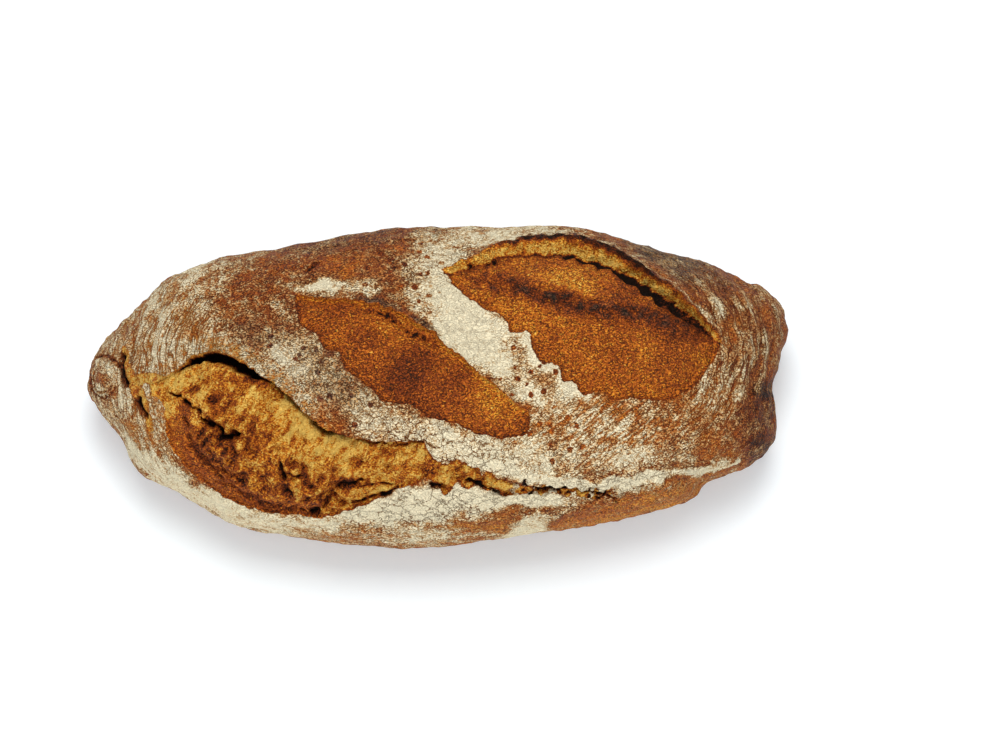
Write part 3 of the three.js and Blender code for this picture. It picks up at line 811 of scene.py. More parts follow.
@dataclass
class TearScore(Score):
    """The torn score at the left: a flap over a deep slit, torn crumb and a smooth cut face."""

    back: Points = field(default_factory=lambda: [
        (-122, 2), (-110, 8), (-102, 14.5), (-90, 16), (-78, 9.5), (-65, 1), (-54, -10),
        (-42, -17.5), (-24, -21), (-5, -22),
    ])
    front: Points = field(default_factory=lambda: [
        (-1, -29), (12, -30.5), (24, -36.5), (38, -40.5), (56, -42), (78, -46.5), (56, -44.6),
        (40, -45), (26, -44.5), (12, -41), (2, -43.5), (-3, -38), (-9, -40.5), (-20, -44.5), (-32, -50),
        (-48, -54.5), (-66, -53), (-84, -49), (-98, -41), (-108, -31.5), (-115, -19),
        (-115.5, -6), (-121, -2),
    ])
    fold: Points = field(default_factory=lambda: [
        (-106, -6), (-105, -19), (-97, -32), (-84, -43), (-68, -49.5), (-52, -52),
    ])
    flap: float = 4.0
    blunt: float = 0.6
    flare: float = 9.0
    slit: Table = (
        (0.0, 0.2), (0.1, 0.2), (0.13, 1.2), (0.17, 2.8), (0.22, 3.4), (0.26, 4.6), (0.30, 4.2),
        (0.345, 4.8), (0.40, 3.4), (0.44, 1.3), (0.48, 0.8), (0.6, 0.6), (0.63, 0.8), (0.655, 2.6),
        (0.70, 2.2), (0.735, 0.6), (0.77, 0.15), (1.0, 0.1),
    )
    deepest: float = 9.0
    wall: float = 0.6
    bank: float = 1.5
    overhang: float = 1.6
    crumb: float = 3.2
    fold_end: float = 0.12
    flakes: float = 3.4
    tear_angle: float = 62.0
    tear_stretch: float = 2.2
    tones: tuple[Dab, ...] = (
        Dab(-96, -1, 17, 7, -15, 0.17), Dab(-106, 6, 13, 4.5, 25, 0.02), Dab(-88, 9, 9, 4, -15, 0.22),
        Dab(-88, -0.5, 10, 5, 35, 0.46), Dab(-78, 1.0, 11, 6, -30, 0.47),
        Dab(-72, -7, 10, 5, -40, 0.16),
        Dab(-84, -8, 9, 4.5, -45, 0.38), Dab(-59, -12, 11, 8, -40, -0.06),
        Dab(-100, -20, 8, 7, -50, 0.38),
        Dab(-92, -26, 12, 7, -45, 0.62), Dab(-74, -22, 12, 8, -50, 0.44),
        Dab(-74, -41, 16, 7, -15, 0.50),
        Dab(-58, -36, 9, 8, 30, 0.36), Dab(-56, -25, 10, 6, -40, 0.12),
        Dab(-42, -23, 13, 8, -15, -0.07),
        Dab(-36, -32, 10, 5, -5, 0.24), Dab(-20, -28, 13, 5, -5, 0.16), Dab(-12, -26, 8, 2.4, -5, 0.08),
        Dab(-30, -36, 16, 2.6, 0, 0.12), Dab(-6, -34, 9, 3, -10, 0.38),
        Dab(-30, -45.5, 18, 3.0, 16, 0.14),
        Dab(-37, -39.5, 6, 2.6, 0, 0.70), Dab(-53, -49, 9, 4, 20, 0.48), Dab(4, -31, 8, 2.0, -15, 0.40),
        Dab(30, -41, 22, 2.4, -8, 0.14), Dab(14, -36, 6, 2.5, -20, 0.26),
    )
    beige: Table = ((0.1, 0.0), (0.2, 0.8), (0.5, 1.0), (0.6, 0.8), (0.66, 0.0))
    flakes_from: tuple[float, float] = (18.0, 40.0)

    def at(self, face: np.ndarray) -> Place:
        """Return where the face points lie by the rim, whose narrow right end is torn into flakes."""
        ragged = wanders(np.column_stack([face, np.zeros(len(face))]), 4.6, 51.0, 52.0)
        return super().at(face + self.flakes * smoothstep(face[:, :1], -12.0, 12.0) * ragged)

    def roughness(self, face: np.ndarray) -> np.ndarray:
        """Work out how torn the crumb is.

        Args:
            face: (along, across) rows.

        Returns:
            1 on torn crumb and 0 on the smooth face between the fold and the lower left rim.
        """
        fold = Line(self.fold).near(face)
        start = 1 - smoothstep(fold.share, 0.0, self.fold_end)
        past = np.maximum(start, smoothstep(fold.share, 1 - self.fold_end, 1.0))
        return smoothstep(fold.distance, 0.0, self.swell * 0.7) * np.where(fold.side > 0, 1.0, past)

    def strokes(self, face: np.ndarray) -> np.ndarray:
        """Work out noise that is drawn out along the way the crumb was torn.

        Args:
            face: (along, across) rows.

        Returns:
            Values that mostly lie between -0.7 and 0.7.
        """
        turn = math.radians(self.tear_angle)
        ahead = face[:, 0] * math.cos(turn) + face[:, 1] * math.sin(turn)
        aside = face[:, 1] * math.cos(turn) - face[:, 0] * math.sin(turn)
        return wander(np.column_stack([ahead / self.tear_stretch, aside, np.zeros(len(face))]), 2.6, 55.0)

    def form(self, skin: Skin) -> None:
        """Lift the flap, open the slit, tear the crumb and paint it all.

        Args:
            skin: the crust, which is moved and painted.
        """
        place = self.enter(skin)
        distance, share = place.back.distance, place.back.share
        flap = self.flap * (spindle(share, self.blunt) * place.tip)
        rough = self.roughness(skin.face)
        bent = skin.point + 2.2 * wanders(skin.point, 7.0, 34.0, 35.0, 36.0)
        crags = 2.3 * crumple(bent, 9.0, 1.0, 4) + 1.2 * wander(bent, 3.4, 2.0)
        inward = smoothstep(place.inside, 0.0, self.tip)
        crumb = self.swollen(place.inside, self.crumb) + inward * (0.08 + rough) * crags
        slit = varied(share, self.slit) * skin.uneven(0.35, 4.0, 37.0)
        deep = np.minimum(self.deepest, 3.0 * slit) * place.tip
        bank = smoothstep((distance - slit) / self.bank, 0.0, 1.0)
        inner = lerp(lerp(flap, -deep, smoothstep(distance, 0.0, self.wall)), crumb, bank)
        self.raise_skin(skin, place, inner, flap, self.flare)
        skin.slide += self.overhang * spindle(share, self.blunt) * hump(distance, self.wall)
        self.paint_crumb(skin, place, rough, crags)
        self.paint_flap(skin, place)
        self.flake(skin, place)
        # Painted shade in the slit under the flap.
        gone = place.inner * (1 - smoothstep(distance - slit, -0.2, 0.7)) * smoothstep(slit, 0.3, 0.8)
        skin.blend(gone * smoothstep(distance, 0.0, 0.3), hollow=1.0)

    def paint_crumb(self, skin: Skin, place: Place, rough: np.ndarray, crags: np.ndarray) -> None:
        """Paint the crumb yellow to brown with painted shade in its hollows, and press its darker strokes
        in.

        Args:
            skin: the crust, which is painted and moved.
            place: where its points lie by the rim.
            rough: how torn the crumb is, from 0 to 1.
            crags: the height of its crags in millimetres.
        """
        inner = place.inner
        skin.blend(inner, bake=0.50 + 0.12 * skin.wander(10.0, 9.0))
        torn = painted(0.25 + 0.1 * skin.wander(9.0, 10.0), self.tones, skin.face)
        # Painted shade and light on the crags: lower crumb is painted darker and higher crumb lighter.
        torn = torn - 0.06 * np.clip(crags, -1.2, 2.0) + 0.08 * skin.wander(4.5, 38.0)
        strokes = self.strokes(skin.face)
        torn = torn + 0.16 * smoothstep(strokes, 0.08, 0.3) - 0.13 * smoothstep(-strokes, 0.08, 0.3)
        skin.out -= 0.7 * (inner * smoothstep(rough, 0.2, 0.7)) * smoothstep(strokes, 0.05, 0.3)
        skin.blend(inner * smoothstep(rough, 0.03, 0.35), bake=torn, crumb=1.0)
        # Painted shade in the deepest crevices of the torn crumb.
        skin.blend(inner * rough * smoothstep(-crags, 1.4, 2.6), hollow=0.4)

    def paint_flap(self, skin: Skin, place: Place) -> None:
        """Paint the smooth beige edge of the flap.

        Args:
            skin: the crust, which is painted.
            place: where its points lie by the rim.
        """
        near = 1 - smoothstep(place.back.distance, 3.0, 8.0)
        beige = place.outer * near * varied(place.back.share, self.beige)
        skin.blend(beige, bake=0.14, flour=0.56, ash=0.40, dots=0.0, crackle=0.0)

    def flake(self, skin: Skin, place: Place) -> None:
        """Break the narrow right end into floured flakes and gaps with painted shade.

        Args:
            skin: the crust, which is moved and painted.
            place: where its points lie by the rim.
        """
        narrow = place.inner * smoothstep(skin.face[:, 0], *self.flakes_from)
        bits = skin.wander(2.6, 53.0)
        skin.out += 1.2 * narrow * bits
        skin.blend(narrow * smoothstep(bits, 0.0, 0.25), bake=0.16)
        # Painted shade in the gaps between the flakes.
        skin.blend(narrow * smoothstep(-bits, 0.16, 0.34), hollow=0.9)
        flake = narrow * smoothstep(skin.wander(3.6, 54.0), 0.02, 0.10)
        skin.blend(flake, inside=-1.0, flour=1.1)
        line = place.inner * hump(place.inside, 0.8) * smoothstep(place.back.share, 0.68, 0.74)
        skin.blend(line, bake=0.52)


# ---- Grooves, ridges and the two ends -----------------------------------------------------------
@dataclass(frozen=True)
class Groove:
    """A crack along a line: its depth, its half width from start to end, and how darkly shade is painted in
    it.
    """

    through: Points
    depth: float
    width: tuple[float, float]
    dark: float
    ragged: float = 0.5

    def form(self, skin: Skin) -> None:
        """Cut the groove and paint shade into it.

        Args:
            skin: the crust, which is moved and painted.
        """
        near = Line(self.through).near(skin.face)
        distance = near.distance + self.ragged * skin.wander(2.6, 11.0)
        ends = smoothstep(np.minimum(near.share, 1 - near.share), -0.05, 0.12)
        width = lerp(*self.width, near.share) * ends
        skin.out -= self.depth * hump(distance, width)
        # Painted shade along the crack.
        skin.blend(hump(distance, width * 0.8), hollow=self.dark)


@dataclass(frozen=True)
class Split:
    """A narrow split in the skin that shows yellow crumb."""

    through: Points
    half: float
    bake: float
    depth: float = 1.1

    def form(self, skin: Skin) -> None:
        """Open the split and paint its crumb.

        Args:
            skin: the crust, which is moved and painted.
        """
        near = Line(self.through).near(skin.face)
        inside = self.half * spindle(0.06 + 0.88 * near.share, 0.6) - near.distance
        skin.marks[Mark.INSIDE] = np.maximum(skin.marks[Mark.INSIDE], inside)
        skin.out -= self.depth * smoothstep(inside, -0.2, 0.7)
        bake = self.bake + 0.25 * skin.wander(3.0, 39.0)
        skin.blend(smoothstep(inside, -0.3, 0.3), bake=bake, flour=BARE, crumb=1.0)


@dataclass
class SkinForms:
    """The grooves, the seam along the lower side, the slow swells and the forms of the ends."""

    splits: tuple[Split, ...] = (
        Split([(-133, 17), (-132, 9), (-128.5, 2), (-125, -6), (-121.5, -17)], 2.4, 0.22),
        Split([(-130, 3), (-124, 4), (-116, 4.5)], 2.4, 0.14),
    )
    grooves: tuple[Groove, ...] = (
        Groove(
            [(-114, -1.4), (-109.6, -2.7), (-105.3, -5.6), (-103, -7.6), (-100, -9.2), (-98.3, -12.5)],
            4.0, (0.5, 1.0), 0.95, 0.9,
        ),
        Groove(
            [(-98.5, -12.6), (-94.5, -15.3), (-91.2, -16.8), (-90.3, -20.2), (-86.5, -20.4), (-83, -19.2)],
            7.0, (1.3, 1.7), 1.0, 1.0,
        ),
        Groove([(-54, -53), (-49, -52.4)], 4.0, (1.4, 1.2), 0.95, 0.6),
        Groove(
            [(-48, -51), (-44.5, -45), (-41.6, -41.4), (-36.4, -39.4), (-31.5, -39.2)],
            4.0, (1.0, 1.5), 0.7, 0.8,
        ),
        Groove([(-33, -42), (-24.6, -40.5), (-18.5, -40.8)], 2.2, (0.5, 0.7), 0.85, 0.4),
        Groove(
            [(-36, -48.6), (-30, -47), (-26, -45.7), (-19.3, -44.4), (-16, -42.6)],
            3.0, (0.7, 0.8), 0.95, 0.5,
        ),
        Groove([(-65.5, -30), (-65.6, -35), (-63.5, -38.5)], 3.5, (0.7, 1.0), 0.9, 0.5),
        Groove([(-62, -35), (-60, -37.5), (-57, -37.5)], 3.0, (1.0, 0.8), 0.9, 0.5),
        Groove([(-63, -42.5), (-60.5, -45.5)], 2.5, (0.8, 0.8), 0.9, 0.4),
        Groove(
            [(-106, -14), (-103, -24), (-95, -34), (-84, -43), (-70, -49.5), (-56, -53)],
            2.2, (1.4, 1.8), 0.36, 2.6,
        ),
        Groove([(-101, -20), (-96, -26), (-90, -34), (-82, -40)], 1.5, (1.0, 1.2), 0.35, 2.0),
        Groove([(-3, -41), (0, -41.6), (4, -40.6)], 4.0, (1.3, 1.0), 0.95, 0.7),
        Groove([(12, -38.6), (17, -40), (21, -42.3), (27, -45)], 3.5, (1.0, 0.8), 0.95, 0.8),
        Groove([(41, -41), (44, -43.5), (52, -43), (57, -43.5)], 2.6, (0.9, 0.6), 0.9, 0.9),
        Groove([(62, -44.2), (70, -45), (77, -46.4)], 1.8, (0.5, 0.4), 0.85, 0.5),
        Groove(
            [(-40, -19.5), (-28.6, -21.4), (-16.7, -24), (-5, -22.6), (0, -26)],
            1.2, (0.5, 0.5), 0.5, 0.7,
        ),
        Groove([(-134.2, 15), (-134.2, 7), (-131.4, 0)], 5.0, (1.1, 0.9), 0.9, 0.4),
        Groove([(-128, -3.5), (-126.3, -8), (-123.6, -13)], 5.0, (1.1, 1.4), 1.0, 0.4),
        Groove([(-55, 50), (-52.5, 51.2), (-50.5, 53.5)], 2.0, (0.8, 0.6), 0.85, 0.4),
        Groove([(36, 33), (42, 29), (49, 25)], 0.4, (0.35, 0.35), 0.35, 0.3),
    )
    seam: Points = field(default_factory=lambda: [
        (-80, -58), (-40, -58.5), (0, -55), (40, -50), (78, -45), (97, -38), (127, -31),
    ])
    curl: tuple[float, float] = (-142.5, 4.0)
    curl_wide: float = 6.6
    curl_tall: float = 8.0
    ridge: float = 1.3
    side_swell: float = 0.9
    arc_depth: float = 1.1

    def form(self, skin: Skin) -> None:
        """Cut, swell and fold the skin.

        Args:
            skin: the crust, which is moved and painted.
        """
        for part in (*self.splits, *self.grooves):
            part.form(skin)
        self.form_seam(skin)
        self.form_curl(skin)
        self.form_wrinkles(skin)

    def form_seam(self, skin: Skin) -> None:
        """Raise the floured ridge at the lower right and the swollen side under it.

        Args:
            skin: the crust, which is moved.
        """
        seam = Line(self.seam).near(skin.face)
        lumps = smoothstep(seam.share, 0.6, 1.0) * skin.uneven(0.7, 4.0, 40.0)
        skin.out += self.ridge * lumps * hump(seam.distance, 2.0)
        ends = smoothstep(np.minimum(seam.share, 1 - seam.share), 0.0, 0.1)
        below = np.where(seam.side < 0, ends * smoothstep(seam.distance, 0.0, 4.0), 0.0)
        skin.out += self.side_swell * below

    def form_curl(self, skin: Skin) -> None:
        """Roll the left tip into a curl with a fuzzy brown middle.

        Args:
            skin: the crust, which is moved and painted.
        """
        ahead, aside = ((skin.face - self.curl) / (self.curl_wide, self.curl_tall)).T
        radius = np.hypot(ahead, aside) + 0.08 * skin.wander(3.0, 41.0)
        angle = np.arctan2(aside, ahead)
        near = 1 - smoothstep(radius, 0.8, 1.3)
        lower = smoothstep(np.cos(angle - math.radians(235)), -0.5, 0.3)
        upper = smoothstep(np.cos(angle - math.radians(60)), 0.0, 0.6)
        arcs = np.maximum(hump(radius - 1.0, 0.07) * lower, 0.8 * hump(radius - 0.72, 0.06) * lower)
        arcs = np.maximum(arcs, hump(radius - 1.25, 0.06) * upper)
        skin.out += 0.6 * near * hump(radius, 0.7) - self.arc_depth * arcs
        skin.blend(near, flour=0.70, wrinkle=0.25)
        skin.blend(np.maximum(arcs, 0.8 * hump(radius - 0.1, 0.34)), flour=0.12)
        skin.blend(arcs, bake=0.7)

    @staticmethod
    def form_wrinkles(skin: Skin) -> None:
        """Wrinkle the skin of the ends along the flow.

        Args:
            skin: the crust, which is moved and painted.
        """
        coarse = wander(skin.flow, 4.2, 43.0) + 0.6 * wander(skin.flow, 2.2, 44.0)
        strong = skin.marks[Mark.WRINKLE] * lerp(1.1, 1.6, smoothstep(skin.face[:, 0], 80, 110))
        skin.out += strong * coarse * smoothstep(-skin.marks[Mark.INSIDE], -0.5, 1.5)
        skin.marks[Mark.FLOUR] += 0.16 * strong * coarse


@dataclass
class Flow:
    """The way the skin is drawn at the two ends, as arcs round a point of the face."""

    left: tuple[float, float] = (-50.0, 5.0)
    right: tuple[float, float] = (72.0, 16.0)
    radius: float = 70.0
    stretch: float = 8.0

    def at(self, face: np.ndarray, point: np.ndarray) -> np.ndarray:
        """Work out coordinates that run slowly along the arcs and fast across them.

        Args:
            face: (along, across) rows.
            point: the same points in millimetres.

        Returns:
            One row of three coordinates for each point.
        """
        wobble = 1.6 * wander(point, 16.0, 45.0) + 0.8 * wander(point, 7.0, 46.0)
        left = face[:, 0] < 0
        centre = np.where(left[:, None], self.left, self.right)
        gap = (face - centre) * np.where(left, -1.0, 1.0)[:, None]
        turn = np.arctan2(gap[:, 1], gap[:, 0]) * self.radius / self.stretch
        reach = np.hypot(*gap.T) + wobble
        return np.column_stack([turn, reach, point[:, 2] * 0.3])


@dataclass
class FlourCoat:
    """Where the flour lies, where it has cracked and where bare spots show."""

    cover: tuple[Dab | Band, ...] = (
        Dab(-75, 42, 44, 22, 10, 0.30), Dab(-22, 54, 28, 13, 4, 0.29), Dab(-62, 56, 20, 5, 8, 0.26),
        Dab(-112, 26, 20, 24, 60, 0.60), Dab(-130, 6, 26, 38, 0, 0.68),
        Dab(-122, -24, 16, 18, -50, 0.56),
        Dab(-120, 32, 10, 10, 0, 0.74),
        Dab(-98, 26, 12, 8, -30, 0.52), Dab(-100, 48, 14, 9, 30, 0.74), Dab(-84, 54, 14, 5, 20, 0.52),
        Dab(-62, 20, 26, 9, -32, 0.47), Dab(-80, 24, 10, 6, -20, 0.36),
        Dab(-44, 4, 22, 10, -38, 0.52), Dab(-63, 12, 10, 5, -38, 0.80),
        Dab(-26, -10, 14, 6, -38, 0.64), Dab(-96, 19, 13, 4, 5, 0.70),
        Dab(-42, 41, 12, 4, -5, 0.55), Dab(-50, 42.5, 12, 2.8, -6, 0.95),
        Dab(-29, 42, 6, 3.5, -5, 0.74), Dab(0, 56, 12, 12, 70, 0.76), Dab(13, 27, 27, 14, -42, 1.25),
        Dab(-6, 34, 9, 5, -35, 0.68), Dab(4, 50, 9, 9, 60, 0.85), Dab(30, 64, 34, 6.5, 0, 0.84),
        Dab(97, 53, 26, 8, -32, 0.45), Dab(40, 8, 14, 12, -50, 0.60), Dab(51, -6, 10, 13, -30, 0.66),
        Dab(40, -2, 7, 6, -40, 0.84), Dab(24, 12, 10, 5, -42, 1.1),
        Dab(42, -22, 6, 6, 0, 0.72), Dab(68, -19, 22, 15, 20, 0.68), Dab(64, -31, 18, 5, 5, 0.62),
        Dab(82, -8, 10, 5, 0, 0.40), Dab(84, -31, 12, 5, 15, 0.86), Dab(100, -28, 12, 5, 20, 0.62),
        Dab(8, -24, 33, 10, -14, 0.95), Dab(-20, -15, 18, 6, -14, 0.70),
        Dab(38, -31, 12, 8, -14, 0.82), Dab(102, -14, 12, 12, 0, 0.42), Dab(115, 4, 4.0, 20, -8, 0.66),
        Dab(120, 32, 5, 6, 20, 0.74), Dab(134, 26, 12, 22, 0, 0.46), Dab(122, -8, 8, 16, 0, 0.52),
        Dab(138, -14, 9, 22, 0, 0.26), Dab(0, -62, 110, 5, 2, 0.48), Dab(78, -52, 36, 5, 10, 0.20),
        Dab(20, -55, 30, 3.2, 7, 0.30), Dab(-84, -50.5, 12, 3.0, -18, 0.9),
        Dab(-12, -49.5, 40, 8, 4, 1.25), Dab(28, -46, 28, 4.0, -2, 1.5),
        Dab(-8, -62, 18, 4, 2, 0.74), Dab(38, -59, 11, 5.5, 20, 0.98),
        Band([(-132, -26), (-118, -36), (-102, -46), (-86, -53), (-70, -56)], 5.2, 0.98),
        Band([(-70, -56), (-56, -56.5), (-44, -56)], 4.6, 0.86),
        Band([(58, -43), (70, -42.5), (82, -40.2), (94, -37.4)], 3.2, 1.25),
        Band([(18, -32), (34, -36), (50, -38.6), (66, -41)], 2.8, 1.15),
        Band([(98, -36.2), (112, -35.2), (128, -30)], 1.7, 0.92),
        Band(
            [(31, 24), (38.5, 22.5), (41, 15), (46, 9.5), (52, 8.5), (54, 3), (58, 0), (64, -4)],
            2.5, 1.05,
        ),
    )
    crackled: tuple[Dab, ...] = (
        Dab(0, -26, 46, 14, -14, 0.9), Dab(0, -50, 48, 9, 4, 1.0), Dab(12, 28, 24, 14, -42, 0.4),
        Dab(-75, -56, 50, 6, -8, 0.2), Dab(70, -40, 42, 6, 8, 0.8), Dab(0, 50, 12, 12, 0, 0.6),
    )
    dotted: tuple[Dab, ...] = (
        Dab(-66, 19, 17, 6, -12, 1.0), Dab(-50, 10, 9, 8, -35, 0.9), Dab(40, 6, 14, 14, -50, 1.0),
        Dab(-40, -6, 20, 8, -35, 0.7), Dab(54, -18, 20, 14, 0, 0.6), Dab(-8, 44, 12, 12, 0, 0.45),
        Dab(-30, 52, 34, 10, 5, 0.7),
    )
    wrinkled: tuple[Dab, ...] = (
        Dab(-118, 24, 22, 30, 60, 1.0), Dab(-132, 0, 18, 26, 0, 0.9), Dab(-124, -28, 20, 14, -50, 0.7),
        Dab(128, 24, 24, 34, 0, 1.0), Dab(100, 54, 30, 9, -28, 0.9), Dab(120, 0, 16, 26, 0, 0.7),
        Dab(40, 66, 50, 5, 0, 0.4),
    )
    streaked: tuple[Dab, ...] = (
        Dab(72, -16, 26, 18, 10, 1.0), Dab(46, -10, 14, 16, 0, 0.6), Dab(102, -14, 14, 18, 0, 0.5),
    )
    # The first two dabs grey the back rim as painted shade, where it turns away from the light; the others
    # are a grey bloom on the crust.
    greyed: tuple[Dab, ...] = (
        Dab(98, 57, 32, 8, -28, 0.75), Dab(-60, 60, 60, 4, 8, 0.2), Dab(-46, 6, 26, 11, -38, 0.5),
        Dab(-66, 18, 20, 9, -22, 0.4), Dab(-122, 8, 26, 40, 0, 0.22),
        Dab(134, 26, 12, 22, 0, 0.2),
    )
    least_crackle: float = 0.15

    def dust(self, skin: Skin) -> None:
        """Paint the flour, its flakes and its bare spots.

        Args:
            skin: the crust, which is painted.
        """
        warped = skin.face + 3.2 * wanders(skin.point, 9.0, 16.0, 17.0)
        start = 0.34 + 0.1 * skin.wander(20.0, 15.0)
        skin.marks[Mark.FLOUR] = painted(start, self.cover, warped) + 0.1 * skin.wander(9.0, 47.0)
        skin.marks[Mark.CRACKLE] = np.full(len(skin.point), self.least_crackle)
        for mark, dabs in (
            (Mark.CRACKLE, self.crackled), (Mark.DOTS, self.dotted),
            (Mark.WRINKLE, self.wrinkled), (Mark.STREAK, self.streaked), (Mark.ASH, self.greyed),
        ):
            for dab in dabs:
                skin.marks[mark] = np.maximum(skin.marks[mark], dab.amount * dab.weight(warped))


@dataclass
class Browning:
    """How darkly the bare skin is baked."""

    base: float = 0.50
    dabs: tuple[Dab, ...] = (
        Dab(-75, 40, 45, 22, 10, 0.53), Dab(-118, 20, 26, 34, 20, 0.26),
        Dab(-124, -24, 22, 20, -50, 0.32),
        Dab(-44, 4, 24, 10, -38, 0.66), Dab(-80, 22, 10, 6, -20, 0.64), Dab(60, -20, 44, 14, 0, 0.40),
        Dab(112, -10, 18, 24, 0, 0.44), Dab(130, 25, 18, 26, 0, 0.50),
        Dab(138, -12, 10, 22, 0, 0.66), Dab(139, -26, 7, 7, 0, 0.84), Dab(142, -1, 7, 4, 0, 0.84),
        # Partly the crust's own colour and partly painted light: the dabs at across 57 mm and more bake the
        # back rim darker as painted shade, and the long dab along the lower front band bakes it lighter as
        # painted light.
        Dab(98, 57, 26, 8, -30, 0.68), Dab(0, -61, 120, 7, 0, 0.36), Dab(92, -48, 34, 7, 20, 0.30),
        Dab(-40, 63, 40, 4, 5, 0.66), Dab(-20, 50, 14, 6, 0, 0.58), Dab(35, 66, 34, 5, 0, 0.56),
    )

    def bake(self, skin: Skin) -> None:
        """Paint the bake of the bare skin."""
        tone = painted(np.full(len(skin.point), self.base), self.dabs, skin.face)
        skin.marks[Mark.BAKE] = tone + 0.1 * skin.wander(16.0, 18.0) + 0.08 * skin.wander(5.0, 19.0)


# ---- Node graphs --------------------------------------------------------------------------------
@dataclass
class Graph:
    """A node tree with short calls for the nodes that the finishes use."""

    tree: bpy.types.NodeTree

    def feed(self, socket: Socket, value: object) -> None:
        """Link another socket to an input, or set the input to a constant.

        Args:
            socket: the input.
            value: another socket or a constant.
        """
        if isinstance(value, Socket):
            self.tree.links.new(value, socket)
        else:
            socket.default_value = value

    def node(self, kind: str, inputs: dict | None = None, **settings: object) -> bpy.types.Node:
        """Add a node.

        Args:
            kind: the node's type name.
            inputs: sockets to set or link, by name or index.
            settings: the node's own properties.

        Returns:
            The new node.
        """
        made = self.tree.nodes.new(kind)
        for name, value in settings.items():
            setattr(made, name, value)
        for name, value in (inputs or {}).items():
            self.feed(made.inputs[name], value)
        return made

    def math(self, operation: str, *values: Input) -> Socket:
        """Return the result of a Math node on sockets and numbers."""
        return self.node("ShaderNodeMath", dict(enumerate(values)), operation=operation).outputs[0]

    def total(self, start: Input, *terms: tuple[Socket, float]) -> Socket:
        """Add weighted sockets up.

        Args:
            start: the socket or number that they are added to.
            terms: (socket, weight) pairs.

        Returns:
            The sum.
        """
        for socket, weight in terms:
            start = self.math("MULTIPLY_ADD", socket, weight, start)
        return start

    def product(self, first: Input, *others: Input) -> Socket:
        """Multiply sockets and numbers.

        Args:
            first: a socket or a number.
            others: the other factors.

        Returns:
            Their product.
        """
        for other in others:
            first = self.math("MULTIPLY", first, other)
        return first

    def ramp(self, value: Socket, low: float, high: float, start: float = 0.0, end: float = 1.0) -> Socket:
        """Return a smooth ramp from start to end while the value runs from low to high."""
        inputs = {"Value": value, "From Min": low, "From Max": high, "To Min": start, "To Max": end}
        return self.node("ShaderNodeMapRange", inputs, interpolation_type="SMOOTHSTEP").outputs["Result"]

    def mix(self, share: Input, start: object, end: object) -> Socket:
        """Return the blend of two colours.

        Args:
            share: 0 for the start and 1 for the end.
            start: a socket or a linear colour.
            end: a socket or a linear colour.

        Returns:
            The blended colour.
        """
        made = self.node("ShaderNodeMix", data_type="RGBA")
        for name, value in (("Factor_Float", share), ("A_Color", start), ("B_Color", end)):
            self.feed(next(socket for socket in made.inputs if socket.identifier == name), value)
        return next(socket for socket in made.outputs if socket.identifier == "Result_Color")

    def noise(self, vector: Socket, pitch: float, detail: float = 2.0, spread: float = 0.22) -> Socket:
        """Return noise between -0.5 and 0.5.

        Args:
            vector: coordinates in millimetres.
            pitch: the size of its lumps in millimetres.
            detail: how many finer sizes are added.
            spread: how far from the texture's middle value it reaches its ends.

        Returns:
            The noise.
        """
        inputs = {"Vector": vector, "Scale": 1.0 / pitch, "Detail": detail, "Roughness": 0.55}
        value = self.node("ShaderNodeTexNoise", inputs).outputs["Fac"]
        return self.ramp(value, 0.5 - spread, 0.5 + spread, -0.5, 0.5)

    def cells(self, vector: Socket, scale: float, feature: str = "F1", **inputs: float) -> Socket:
        """Return the distance from the points or the edges of a scattered cell pattern."""
        settings = {"Vector": vector, "Scale": scale, **inputs}
        return self.node("ShaderNodeTexVoronoi", settings, feature=feature).outputs["Distance"]

    def drawn(self, vector: Socket, angle: float, stretch: float) -> Socket:
        """Draw a texture's coordinates out along a direction.

        Args:
            vector: coordinates in millimetres.
            angle: the direction in degrees.
            stretch: how many times longer the texture's lumps get.

        Returns:
            The new coordinates.
        """
        turn = (0.0, 0.0, math.radians(angle))
        inputs = {"Vector": vector, "Rotation": turn, "Scale": (stretch, 1.0, 1.0)}
        return self.node("ShaderNodeMapping", inputs, vector_type="TEXTURE").outputs[0]

    def crease(self, value: Socket, half: float) -> Socket:
        """Return thin lines, 1 where a noise value crosses 0."""
        return self.ramp(self.math("ABSOLUTE", value), 0.0, half, 1.0, 0.0)

    def attribute(self, name: str, output: str = "Fac") -> Socket:
        """Return one of the mesh's attributes."""
        return self.node("ShaderNodeAttribute", attribute_name=name).outputs[output]

    def colours(self, value: Socket, stops: tuple[tuple[float, Rgb], ...]) -> Socket:
        """Return a colour ramp's colour.

        Args:
            value: the socket that picks the place on the ramp.
            stops: (place, sRGB colour out of 255) pairs.

        Returns:
            The colour.
        """
        made = self.node("ShaderNodeValToRGB", {"Fac": value})
        elements = made.color_ramp.elements
        while len(elements) < len(stops):
            elements.new(0.5)
        for element, (place, colour) in zip(elements, stops):
            element.position = place
            element.color = srgb(*colour)
        return made.outputs["Color"]


def srgb(red: int, green: int, blue: int) -> tuple[float, float, float, float]:
    """Turn an sRGB colour into a linear one.

    Args:
        red: its red, out of 255.
        green: its green.
        blue: its blue.

    Returns:
        The linear colour, opaque.
    """
    shares = [value / 255 for value in (red, green, blue)]
    linear = [s / 12.92 if s <= 0.04045 else ((s + 0.055) / 1.055) ** 2.4 for s in shares]
    return (*linear, 1.0)


